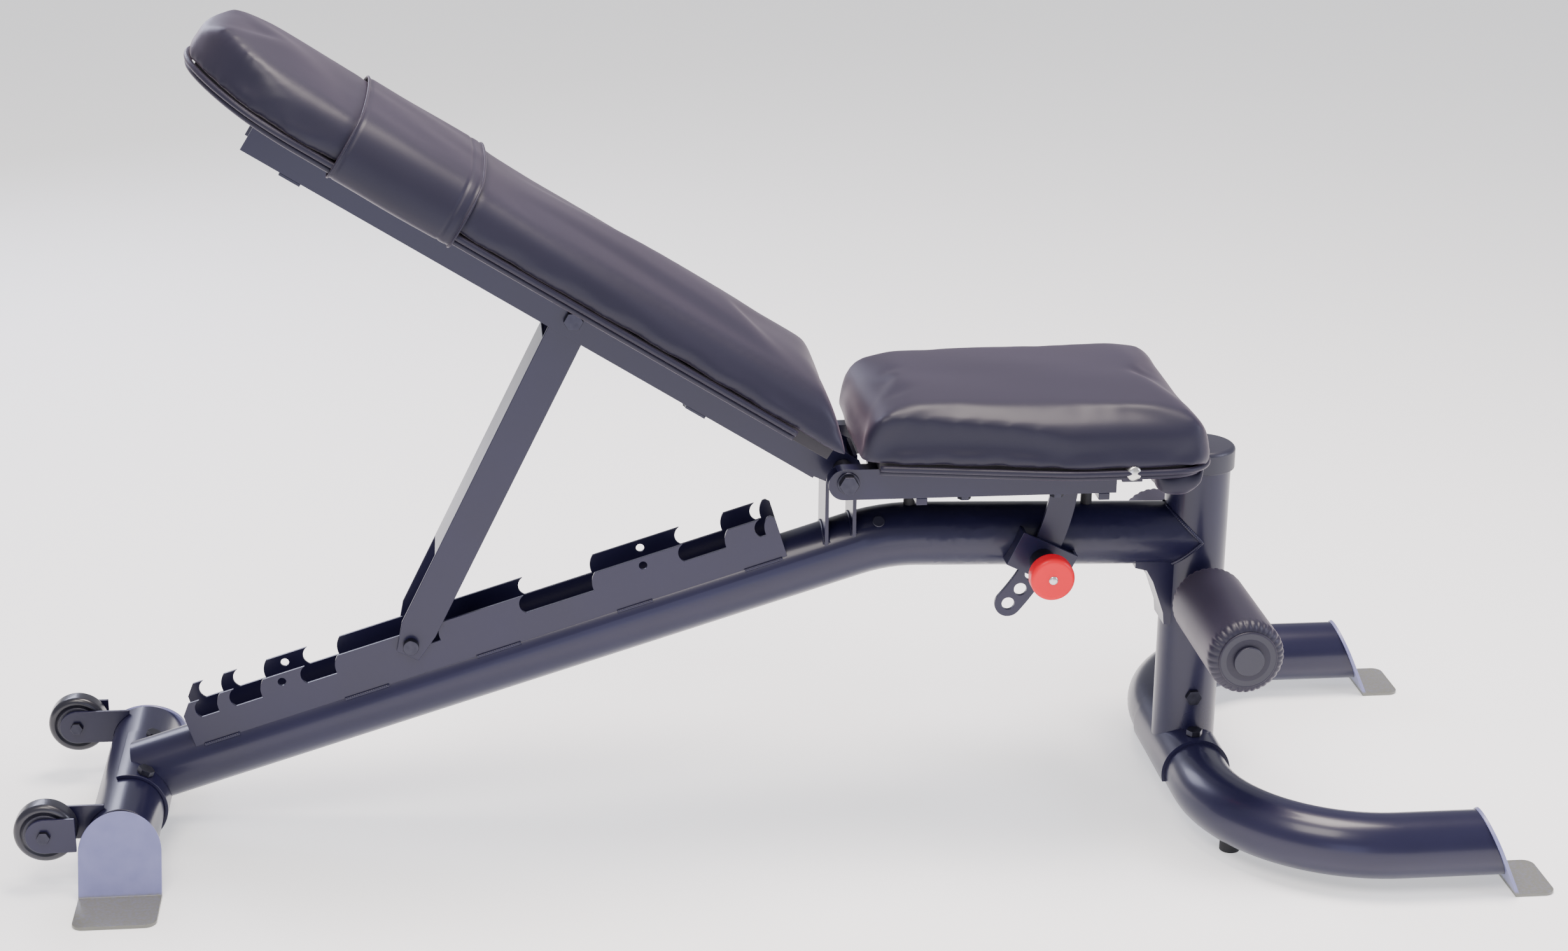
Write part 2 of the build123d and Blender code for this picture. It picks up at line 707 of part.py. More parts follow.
def back_outline(margin):
    """Plan outline of the backrest pad, drawn in by the margin."""
    half = back_half - margin
    head = head_u + margin
    with BuildSketch() as outline:
        with BuildLine():
            Polyline((head + 112, -half), (back_foot_u - margin, -half), (back_foot_u - margin, half),
                     (head + 112, half))
            ThreePointArc((head + 112, half), (head + 38, half - 38), (head, half - 96))
            Line((head, half - 96), (head, -half + 96))
            ThreePointArc((head, -half + 96), (head + 38, -half + 38), (head + 112, -half))
        make_face()
    return outline.sketch


with BuildPart() as back_board:
    with BuildSketch(bar_floor(bar_height)):
        add(back_outline(14))
        with Locations((back_foot_u - 14, 0)):
            Rectangle(8, 2 * back_half, mode=Mode.SUBTRACT)
        with Locations(*[(bolt_u, 0) for bolt_u in back_bolt_u]):
            Circle(m10_r, mode=Mode.SUBTRACT)
    extrude(amount=board_t)
finish_part(back_board, "back_board")


def make_back_foam():
    """Whole foam body of the backrest pad before it is divided."""
    with BuildPart() as foam:
        with BuildSketch(bar_floor(cushion_v)):
            add(back_outline(0))
        extrude(amount=60)
        with BuildSketch(bar_plane(back_half)):
            with BuildLine():
                Polyline((back_foot_u, cushion_v), (back_foot_u, 57), (-40, 74), (-59, 91), (-78, 104))
                ThreePointArc((-78, 104), (-90, 109), (-103, 111))
                Line((-103, 111), (-770, 111))
                ThreePointArc((-770, 111), (-797, 101), (head_u, 76))
                Line((head_u, 76), (head_u, cushion_v))
                Line((head_u, cushion_v), (back_foot_u, cushion_v))
            make_face()
        extrude(amount=2 * back_half, mode=Mode.INTERSECT)
        section_at = on_bar(back_foot_u, 0)
        section_plane = Plane(origin=(section_at[0], 0, section_at[1]), x_dir=(0, -1, 0),
                              z_dir=(-bar_dir[0], 0, -bar_dir[2]))
        with BuildSketch(section_plane):
            with BuildLine():
                Polyline((-back_half, cushion_v + 8), (-back_half, cushion_v), (back_half, cushion_v),
                         (back_half, cushion_v + 8))
                ThreePointArc((back_half, cushion_v + 8), (120, 88), (103, 103))
                ThreePointArc((103, 103), (0, 111), (-103, 103))
                ThreePointArc((-103, 103), (-120, 88), (-back_half, cushion_v + 8))
            make_face()
        extrude(amount=900, mode=Mode.INTERSECT)
    return foam.part


back_foam = make_back_foam()
split_point = on_bar(back_split_u, 0)
back_split_plane = Plane(origin=(split_point[0], 0, split_point[1]), z_dir=bar_dir)
with BuildPart() as back_cushion:
    add(back_foam)
    split(bisect_by=back_split_plane, keep=Keep.BOTTOM)
finish_part(back_cushion, "back_cushion")

with BuildPart() as back_cushion_foot:
    add(back_foam)
    split(bisect_by=back_split_plane, keep=Keep.TOP)
finish_part(back_cushion_foot, "back_cushion_foot")

sleeve_rear_u = -632.0
sleeve_front_u = -494.0
sleeve_t = 1.6
with BuildPart() as head_sleeve:
    band_at = on_bar(sleeve_front_u, 0)
    band_plane = Plane(origin=(band_at[0], 0, band_at[1]), x_dir=(0, -1, 0), z_dir=(-bar_dir[0], 0, -bar_dir[2]))
    outer_half = back_half + sleeve_t
    with BuildSketch(band_plane):
        with BuildLine():
            Polyline((-outer_half, cushion_v + 8), (-outer_half, bar_height - sleeve_t),
                     (outer_half, bar_height - sleeve_t), (outer_half, cushion_v + 8))
            ThreePointArc((outer_half, cushion_v + 8), (121.2, 89.2), (104, 104.5))
            ThreePointArc((104, 104.5), (0, 112.8), (-104, 104.5))
            ThreePointArc((-104, 104.5), (-121.2, 89.2), (-outer_half, cushion_v + 8))
        make_face()
        with Locations((0, bar_height)):
            Rectangle(2 * bar_half + 2, 20, mode=Mode.SUBTRACT)
    extrude(amount=sleeve_front_u - sleeve_rear_u)
    add(back_foam, mode=Mode.SUBTRACT)
    with BuildSketch(bar_floor(bar_height)):
        with Locations(((sleeve_front_u + sleeve_rear_u) / 2, 0)):
            Rectangle(300, 2 * back_half)
    extrude(amount=board_t, mode=Mode.SUBTRACT)
finish_part(head_sleeve, "head_sleeve")

with BuildPart() as back_trim:
    with BuildSketch(bar_floor(cushion_v - 7)):
        add(back_outline(0))
        add(back_outline(6), mode=Mode.SUBTRACT)
        with Locations((back_split_u + 50, 0)):
            Rectangle(100, 400, mode=Mode.SUBTRACT)
        with Locations(((sleeve_front_u + sleeve_rear_u) / 2, 0)):
            Rectangle(sleeve_front_u - sleeve_rear_u, 400, mode=Mode.SUBTRACT)
    extrude(amount=7)
finish_part(back_trim, "back_trim")

bolt_strap_t = 3.0
with BuildPart() as back_bolts:
    for bolt_u in back_bolt_u:
        seat_at = on_bar(bolt_u, -bolt_strap_t)
        head_plane = Plane(origin=(seat_at[0], 0, seat_at[1]), x_dir=(0, 1, 0), z_dir=(-bar_up[0], 0, -bar_up[2]))
        with BuildSketch(head_plane):
            RegularPolygon(m10_head_r, 6)
        extrude(amount=m10_head_h)
        with BuildSketch(head_plane):
            Rectangle(2 * bar_half, 24)
        extrude(amount=-bolt_strap_t)
        with BuildSketch(head_plane):
            Circle(m10_r)
        extrude(amount=-bar_height - bolt_strap_t)
finish_part(back_bolts, "back_bolts")

with BuildPart() as strut_bolt:
    add(hex_bolt(pivot_x, pivot_z, -bar_half, bar_half, hinge_bolt_r, m12_head_r, m12_head_h))
finish_part(strut_bolt, "strut_bolt")

# ---------------------------------------------------------------- back strut
with BuildPart() as strut_channel:
    with BuildSketch(strut_plane(strut_half)):
        Circle(strut_depth / 2 - 2)
        with Locations((strut_len / 2, 0)):
            Rectangle(strut_len - 40, strut_depth)
        with Locations((strut_len, 2)):
            Rectangle(2 * strut_foot, strut_depth - 14)
        make_hull()
    extrude(amount=2 * strut_half)
    with BuildSketch(strut_plane(strut_half - strut_wall)):
        with Locations((strut_len / 2, strut_wall + 10)):
            Rectangle(strut_len + 100, strut_depth + 20)
        with Locations((strut_web_start - 100, 0)):
            Rectangle(200, 100)
        with Locations((strut_web_end + 100, 0)):
            Rectangle(200, 100)
    extrude(amount=2 * (strut_half - strut_wall), mode=Mode.SUBTRACT)
    with BuildSketch(strut_plane(strut_half)):
        Circle(hinge_bolt_r + run_gap)
        with Locations((strut_len, 0)):
            Circle(lock_pin_r)
    extrude(amount=2 * strut_half, mode=Mode.SUBTRACT)
finish_part(strut_channel, "strut_channel")

with BuildPart() as lock_pin:
    with BuildSketch(side_plane(strut_half + 4, pin_x, pin_z)):
        Circle(lock_pin_r)
    extrude(amount=2 * strut_half + 8)
    with BuildSketch(side_plane(-strut_half, pin_x, pin_z)):
        Circle(lock_pin_head_r)
    extrude(amount=lock_pin_head_h)
    with BuildSketch(side_plane(strut_half + lock_pin_head_h, pin_x, pin_z)):
        Circle(lock_pin_head_r)
    extrude(amount=lock_pin_head_h)
finish_part(lock_pin, "lock_pin")

# ---------------------------------------------------------------- seat
with BuildPart() as seat_rails:
    for side in (-1, 1):
        y_high = max(side * rail_inner_y, side * rail_outer_y)
        with BuildSketch(side_plane(y_high)):
            rear_r = (rail_high - rail_low) / 2
            with Locations(((rail_rear_x + rear_r + rail_front_x) / 2, (rail_low + rail_high) / 2)):
                Rectangle(rail_front_x - rail_rear_x - rear_r, rail_high - rail_low)
            with Locations((rail_rear_x + rear_r, (rail_low + rail_high) / 2)):
                Circle(rear_r)
        extrude(amount=rail_outer_y - rail_inner_y)
        with BuildSketch(side_plane(y_high - rail_wall)):
            with Locations(((rail_front_x + rail_rear_x) / 2, (rail_low + rail_high) / 2)):
                Rectangle(rail_front_x - rail_rear_x + 20, rail_high - rail_low - 2 * rail_wall)
        extrude(amount=rail_outer_y - rail_inner_y - 2 * rail_wall, mode=Mode.SUBTRACT)
    with BuildSketch(side_plane(rail_outer_y, hinge_x, hinge_z)):
        Circle(hinge_bolt_r + run_gap)
    extrude(amount=2 * rail_outer_y, mode=Mode.SUBTRACT)
finish_part(seat_rails, "seat_rails")

with BuildPart() as seat_cross_bars:
    with BuildSketch(Plane.XY.offset(rail_low - cross_bar_h)):
        with Locations(*[(bar_x, 0) for bar_x in cross_bar_x]):
            Rectangle(cross_bar_w, 2 * rail_outer_y)
    extrude(amount=cross_bar_h)
finish_part(seat_cross_bars, "seat_cross_bars")

with BuildPart() as seat_lugs:
    with BuildSketch(Plane.XY.offset(414)):
        with Locations((106, -52), (106, 52)):
            Rectangle(14, 2 * (rail_inner_y - 52))
    extrude(amount=5)
    for side in (-1, 1):
        ear_y = side * nose_ear_y
        with BuildSketch(side_plane(max(ear_y, ear_y + side * nose_ear_t), nose_bolt_x, nose_bolt_z)):
            with Locations((0, (seat_board_low - nose_bolt_z - 8) / 2)):
                Rectangle(22, seat_board_low - nose_bolt_z + 8)
            Circle(nose_bolt_r, mode=Mode.SUBTRACT)
        extrude(amount=nose_ear_t)
finish_part(seat_lugs, "seat_lugs")

with BuildPart() as seat_spacers:
    for spacer_y in (rail_inner_y, -bar_half - 1):
        with BuildSketch(side_plane(spacer_y, hinge_x, hinge_z)):
            Circle(spacer_r)
            Circle(hinge_bolt_r + run_gap, mode=Mode.SUBTRACT)
        extrude(amount=rail_inner_y - bar_half - 1)
finish_part(seat_spacers, "seat_spacers")

seat_rear_x = 84.0
seat_front_x = 458.0
seat_split_x = 132.0
seat_rear_half = 112.0
seat_front_half = 147.0
seat_wide_x = 300.0


def seat_outline(margin):
    """Plan outline of the seat pad, drawn in by the margin."""
    rear_half = seat_rear_half - margin
    front_half = seat_front_half - margin
    rear_x = seat_rear_x + margin
    front_x = seat_front_x - margin
    with BuildSketch() as outline:
        with BuildLine():
            Line((rear_x, -rear_half + 20), (rear_x, rear_half - 20))
            ThreePointArc((rear_x, rear_half - 20), (rear_x + 6, rear_half - 6), (rear_x + 20, rear_half))
            Polyline((rear_x + 20, rear_half), (seat_wide_x, front_half), (front_x - 40, front_half))
            ThreePointArc((front_x - 40, front_half), (front_x - 11.7, front_half - 11.7), (front_x, front_half - 40))
            Line((front_x, front_half - 40), (front_x, -front_half + 40))
            ThreePointArc((front_x, -front_half + 40), (front_x - 11.7, -front_half + 11.7),
                          (front_x - 40, -front_half))
            Polyline((front_x - 40, -front_half), (seat_wide_x, -front_half), (rear_x + 20, -rear_half))
            ThreePointArc((rear_x + 20, -rear_half), (rear_x + 6, -rear_half + 6), (rear_x, -rear_half + 20))
        make_face()
    return outline.sketch


with BuildPart() as seat_board:
    with BuildSketch(Plane.XY.offset(seat_board_low)):
        add(seat_outline(14))
        with Locations((seat_rear_x, 0)):
            Rectangle(42, 400, mode=Mode.SUBTRACT)
    extrude(amount=seat_board_high - seat_board_low)
finish_part(seat_board, "seat_board")

nose_low = 399.0
nose_clear = 46.0


def make_seat_foam():
    """Whole foam body of the seat pad before it is divided."""
    with BuildPart() as foam:
        with BuildSketch(Plane.XY.offset(seat_board_high)):
            add(seat_outline(0))
        extrude(amount=60)
        with BuildSketch(side_plane(seat_front_half)):
            with BuildLine():
                Line((seat_rear_x, seat_board_high), (seat_rear_x, 456))
                ThreePointArc((seat_rear_x, 456), (96, 482), (124, 494.8))
                Line((124, 494.8), (405, 494.8))
                ThreePointArc((405, 494.8), (444, 480), (seat_front_x, 452))
                Line((seat_front_x, 452), (seat_front_x, seat_board_high))
                Line((seat_front_x, seat_board_high), (seat_rear_x, seat_board_high))
            make_face()
        extrude(amount=2 * seat_front_half, mode=Mode.INTERSECT)
        with BuildSketch(Plane(origin=(seat_rear_x, 0, 0), x_dir=(0, 1, 0), z_dir=(1, 0, 0))):
            with BuildLine():
                Polyline((-seat_front_half, 460), (-seat_front_half, seat_board_high),
                         (seat_front_half, seat_board_high), (seat_front_half, 460))
                ThreePointArc((seat_front_half, 460), (142, 479), (124, 490))
                ThreePointArc((124, 490), (0, 495), (-124, 490))
                ThreePointArc((-124, 490), (-142, 479), (-seat_front_half, 460))
            make_face()
        extrude(amount=400, mode=Mode.INTERSECT)
        for side in (-1, 1):
            with BuildSketch(side_plane(max(side * nose_clear, side * (seat_front_half - 14)))):
                with BuildLine():
                    Polyline((449, seat_board_high), (449, 420))
                    ThreePointArc((449, 420), (440, 404), (422, nose_low))
                    Polyline((422, nose_low), (400, nose_low), (394, 422), (445, 422), (445, seat_board_high),
                             (449, seat_board_high))
                make_face()
            extrude(amount=seat_front_half - 14 - nose_clear)
    return foam.part


seat_foam = make_seat_foam()
seat_split_plane = Plane(origin=(seat_split_x, 0, 0), z_dir=(1, 0, 0))
with BuildPart() as seat_cushion:
    add(seat_foam)
    split(bisect_by=seat_split_plane, keep=Keep.TOP)
finish_part(seat_cushion, "seat_cushion")

with BuildPart() as seat_cushion_tail:
    add(seat_foam)
    split(bisect_by=seat_split_plane, keep=Keep.BOTTOM)
finish_part(seat_cushion_tail, "seat_cushion_tail")

with BuildPart() as seat_trim:
    with BuildSketch(Plane.XY.offset(seat_board_low + 4)):
        add(seat_outline(0))
        add(seat_outline(6), mode=Mode.SUBTRACT)
        with Locations((seat_split_x - 100, 0)):
            Rectangle(200, 400, mode=Mode.SUBTRACT)
        with Locations((seat_front_x, 0)):
            Rectangle(140, 400, mode=Mode.SUBTRACT)
    extrude(amount=8)
    add(seat_board.part, mode=Mode.SUBTRACT)
finish_part(seat_trim, "seat_trim")

seat_bolt_x = [200.0, 300.0]
with BuildPart() as seat_bolts:
    for side in (-1, 1):
        for bolt_x in seat_bolt_x:
            with BuildSketch(Plane.XY.offset(rail_low)):
                with Locations((bolt_x, side * (rail_inner_y + rail_outer_y) / 2)):
                    RegularPolygon(seat_bolt_head_r, 6)
            extrude(amount=-seat_bolt_head_h)
    nose_reach = nose_ear_y + nose_ear_t
    add(hex_bolt(nose_bolt_x, nose_bolt_z, -nose_reach, nose_reach, nose_bolt_r, 7.0, 5.0))
finish_part(seat_bolts, "seat_bolts")

with BuildPart() as sector_plate:
    with BuildSketch(side_plane(sector_near_y + sector_t, hinge_x, hinge_z)):
        with BuildLine():
            top_a = radians(sector_top_deg)
            low_a = radians(sector_low_deg)
            mid_a = (top_a + low_a) / 2
            r_in = sector_r - sector_half_w
            r_out = sector_r + sector_half_w
            end_a = low_a - sector_half_w / sector_r
            ThreePointArc((r_in * cos(top_a), r_in * sin(top_a)), (r_in * cos(mid_a), r_in * sin(mid_a)),
                          (r_in * cos(low_a), r_in * sin(low_a)))
            ThreePointArc((r_in * cos(low_a), r_in * sin(low_a)), (sector_r * cos(end_a), sector_r * sin(end_a)),
                          (r_out * cos(low_a), r_out * sin(low_a)))
            ThreePointArc((r_out * cos(low_a), r_out * sin(low_a)), (r_out * cos(mid_a), r_out * sin(mid_a)),
                          (r_out * cos(top_a), r_out * sin(top_a)))
            Line((r_out * cos(top_a), r_out * sin(top_a)), (r_in * cos(top_a), r_in * sin(top_a)))
        make_face()
        hole_angles = [radians(sector_first_deg - step * sector_step_deg) for step in range(4)]
        with Locations(*[(sector_r * cos(a), sector_r * sin(a)) for a in hole_angles]):
            Circle(sector_hole_r, mode=Mode.SUBTRACT)
    extrude(amount=sector_t)
    with BuildSketch(Plane.XY.offset(388)):
        with Locations((317, (sector_near_y - rail_inner_y) / 2)):
            Rectangle(26, rail_inner_y + sector_near_y)
        with Locations((317, sector_near_y + sector_t / 2)):
            Rectangle(26, sector_t)
    extrude(amount=6)
finish_part(sector_plate, "sector_plate")

# ---------------------------------------------------------------- wheels
with BuildPart() as wheel_brackets:
    for side in (-1, 1):
        for offset in (-bracket_plate_y, bracket_plate_y):
            with BuildSketch(side_plane(side * wheel_y + offset + plate_t / 2)):
                with Locations((wheel_x, wheel_z)):
                    Circle(wheel_bracket_half)
                    Circle(axle_r, mode=Mode.SUBTRACT)
                bracket_end = -742.0 if side * offset > 0 else -715.0
                with Locations(((wheel_x + bracket_end) / 2, wheel_z)):
                    Rectangle(bracket_end - wheel_x, 2 * wheel_bracket_half)
                with Locations((wheel_x, wheel_z)):
                    Circle(axle_r, mode=Mode.SUBTRACT)
            extrude(amount=plate_t)
    add(rear_solid, mode=Mode.SUBTRACT)
finish_part(wheel_brackets, "wheel_brackets")

with BuildPart() as wheel_axles:
    for side in (-1, 1):
        axle_in = side * wheel_y - 18
        add(hex_bolt(wheel_x, wheel_z, axle_in, axle_in + 36, axle_r, 7.2, 5))
finish_part(wheel_axles, "wheel_axles")

for wheel_name, side in (("near", -1), ("far", 1)):
    with BuildPart() as tyre:
        with BuildSketch(side_plane(side * wheel_y + wheel_w / 2, wheel_x, wheel_z)):
            Circle(wheel_r)
            Circle(hub_r, mode=Mode.SUBTRACT)
        extrude(amount=wheel_w)
        chamfer(tyre.edges().filter_by(GeomType.CIRCLE).sort_by(SortBy.RADIUS)[-2:], 2)
    finish_part(tyre, "tyre_" + wheel_name)
    with BuildPart() as hub:
        with BuildSketch(side_plane(side * wheel_y + wheel_w / 2 + 1, wheel_x, wheel_z)):
            Circle(hub_r)
            Circle(axle_r + run_gap, mode=Mode.SUBTRACT)
        extrude(amount=wheel_w + 2)
    finish_part(hub, "hub_" + wheel_name)

# ---------------------------------------------------------------- leg rollers
with BuildPart() as roller_bar:
    with BuildSketch(side_plane(roller_out + 3, roller_x, roller_z)):
        Circle(roller_bar_r)
        Circle(roller_bar_r - 2, mode=Mode.SUBTRACT)
    extrude(amount=2 * (roller_out + 3))
finish_part(roller_bar, "roller_bar")

with BuildPart() as roller_caps:
    for cap_y in (roller_out + 3 + roller_cap_t, -roller_out - 3):
        with BuildSketch(side_plane(cap_y, roller_x, roller_z)):
            Circle(roller_cap_r)
        extrude(amount=roller_cap_t)
finish_part(roller_caps, "roller_caps")

for roller_name, side in (("near", -1), ("far", 1)):
    y_high = max(side * roller_in, side * roller_out)
    with BuildPart() as roller_core:
        with BuildSketch(side_plane(y_high, roller_x, roller_z)):
            Circle(roller_bar_r + 3)
            Circle(roller_bar_r + run_gap, mode=Mode.SUBTRACT)
        extrude(amount=roller_out - roller_in)
        outer_face_y = side * roller_out
        with BuildSketch(side_plane(max(outer_face_y, outer_face_y + side * 2), roller_x, roller_z)):
            Circle(roller_disc_r)
            Circle(roller_bar_r + run_gap, mode=Mode.SUBTRACT)
        extrude(amount=2)
    finish_part(roller_core, "roller_core_" + roller_name)
    with BuildPart() as roller_foam:
        with BuildSketch(side_plane(y_high, roller_x, roller_z)):
            Circle(roller_r)
            Circle(roller_bar_r + 3, mode=Mode.SUBTRACT)
        extrude(amount=roller_out - roller_in)
        fillet(roller_foam.edges().filter_by(GeomType.CIRCLE).sort_by(SortBy.RADIUS)[-2:], 6)
    finish_part(roller_foam, "roller_foam_" + roller_name)
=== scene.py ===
"""Looks of the adjustable weight bench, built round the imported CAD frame.

Metres, in the CAD's row frame: +X from the wheels to the leg rollers, +Z up, Y = 0 the centre plane.
"""

import json
import logging
import math
from collections.abc import Callable, Sequence
from dataclasses import dataclass, field
from enum import Enum

import bmesh
import bpy
import numpy as np
from mathutils import Matrix, Vector


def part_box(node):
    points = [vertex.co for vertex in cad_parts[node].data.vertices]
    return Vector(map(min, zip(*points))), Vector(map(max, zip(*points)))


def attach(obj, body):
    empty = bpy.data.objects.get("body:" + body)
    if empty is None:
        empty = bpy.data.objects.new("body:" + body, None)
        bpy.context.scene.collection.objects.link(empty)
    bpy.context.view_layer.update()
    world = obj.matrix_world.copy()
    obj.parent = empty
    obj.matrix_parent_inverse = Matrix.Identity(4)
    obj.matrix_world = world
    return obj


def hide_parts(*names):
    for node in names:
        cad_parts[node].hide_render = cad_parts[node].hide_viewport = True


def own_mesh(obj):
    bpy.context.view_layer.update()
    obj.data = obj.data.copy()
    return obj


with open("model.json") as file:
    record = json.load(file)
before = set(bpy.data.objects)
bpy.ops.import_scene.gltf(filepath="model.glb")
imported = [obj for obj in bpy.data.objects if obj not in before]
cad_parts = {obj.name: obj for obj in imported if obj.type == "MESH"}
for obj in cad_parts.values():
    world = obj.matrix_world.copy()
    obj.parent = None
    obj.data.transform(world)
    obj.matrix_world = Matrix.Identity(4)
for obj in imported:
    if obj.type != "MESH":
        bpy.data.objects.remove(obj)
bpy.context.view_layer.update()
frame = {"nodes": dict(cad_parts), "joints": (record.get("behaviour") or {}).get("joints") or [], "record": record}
LOG = logging.getLogger("bench")
logging.basicConfig(level=logging.INFO)

MM = 0.001
SEED = 7
TUBE_R = 35 * MM
POST_X = 474.6 * MM
SPINE_SLOPE = math.radians(17.3)
SPINE_ZERO = 278.7 * MM

Mask = Callable[[np.ndarray], np.ndarray]


class Look(Enum):
    """The record's material slots."""

    PAINT = "frame_paint"
    FOOT = "foot_plate"
    VINYL = "vinyl"
    BOARD = "board"
    STEEL = "zinc_steel"
    PLASTIC = "black_plastic"
    RUBBER = "rubber"
    TYRE = "tyre"
    KNOB = "knob_red"
    FOAM = "roller_foam"


class Pattern(Enum):
    """How a surface's fine relief is made."""

    ORANGE_PEEL = "orange_peel"
    GRAIN = "grain"
    BRUSHED = "brushed"
    MATT = "matt"
    FIBRES = "fibres"


@dataclass(frozen=True)
class Finish:
    """One real material and the process that finished it."""

    title: str
    base: str
    second: str
    roughness: float
    rough_swing: float
    pattern: Pattern
    cell_mm: float
    depth_mm: float
    metallic: float = 0.0
    coat: float = 0.0
    coat_rough: float = 0.1
    patch_mm: float = 90.0
    specular: float = 0.5
    sheen: float = 0.0
    sheen_tint: str = "#ffffff"
    dust: str = ""
    dust_top_mm: float = 5.0


FINISHES: dict[Look, Finish] = {
    # steel tube, phosphated and powder coated in gloss blue-black, with its slight orange peel
    Look.PAINT: Finish("powder_coated_steel_gloss", "#17162e", "#1f1d3a", 0.30, 0.06, Pattern.ORANGE_PEEL, 2.6, 0.02,
                       coat=0.15, coat_rough=0.14, specular=0.36),
    # bent floor plate, powder coated pale lavender, its bolt-down tab dulled by shoes and dust
    Look.FOOT: Finish("powder_coated_plate_scuffed", "#6f719c", "#7f81ac", 0.40, 0.12, Pattern.ORANGE_PEEL, 2.2, 0.03,
                      coat=0.2, coat_rough=0.25, patch_mm=14.0, dust="#6c6d66"),
    # knit-backed PVC upholstery vinyl, embossed with a fine leather grain, hazy at a low angle
    Look.VINYL: Finish("embossed_pvc_vinyl", "#151425", "#1b1a2e", 0.47, 0.05, Pattern.GRAIN, 1.1, 0.05,
                       patch_mm=130.0, specular=0.34, sheen=0.2, sheen_tint="#cdb4c4"),
    # birch plywood, cut and painted black
    Look.BOARD: Finish("painted_birch_plywood", "#1a1820", "#232029", 0.6, 0.08, Pattern.FIBRES, 1.2, 0.05),
    # cold-headed steel fasteners, black zinc plated
    Look.STEEL: Finish("black_zinc_plated_steel", "#2c2c36", "#44444e", 0.34, 0.08, Pattern.BRUSHED, 0.5, 0.01,
                       metallic=0.9, patch_mm=6.0),
    # injection-moulded polypropylene, lightly textured
    Look.PLASTIC: Finish("moulded_polypropylene", "#1f1f2c", "#292938", 0.40, 0.06, Pattern.MATT, 0.7, 0.02),
    # moulded EPDM rubber
    Look.RUBBER: Finish("moulded_epdm_rubber", "#1b1b1e", "#252528", 0.7, 0.08, Pattern.MATT, 0.5, 0.03),
    # solid polyurethane wheel tread
    Look.TYRE: Finish("cast_polyurethane_tread", "#161620", "#20202c", 0.34, 0.08, Pattern.MATT, 0.9, 0.02, coat=0.25),
    # glossy red ABS
    Look.KNOB: Finish("glossy_red_abs", "#dc0220", "#e80a28", 0.38, 0.04, Pattern.MATT, 1.4, 0.01, coat=0.04,
                      patch_mm=25.0, specular=0.25),
    # stitched vinyl roller cover over closed-cell foam
    Look.FOAM: Finish("stitched_vinyl_roller_cover", "#171626", "#1f1d30", 0.46, 0.06, Pattern.GRAIN, 1.0, 0.05,
                      patch_mm=60.0, specular=0.4, sheen=0.15, sheen_tint="#cdb4c4"),
}

# turned steel screw heads, bright zinc plated
BRIGHT_ZINC = Finish("bright_zinc_plated_steel", "#c8c8c4", "#e0e0dc", 0.25, 0.06, Pattern.BRUSHED, 0.4, 0.01,
                     metallic=0.9, patch_mm=4.0)


def linear(hex_colour: str) -> tuple[float, float, float, float]:
    """sRGB hex colour to linear RGBA.

    Args:
        hex_colour: colour such as "#26263a".
    Returns:
        Four linear values.
    """
    parts = [int(hex_colour[i:i + 2], 16) / 255 for i in (1, 3, 5)]
    lin = [p / 12.92 if p <= 0.04045 else ((p + 0.055) / 1.055) ** 2.4 for p in parts]
    return (lin[0], lin[1], lin[2], 1.0)


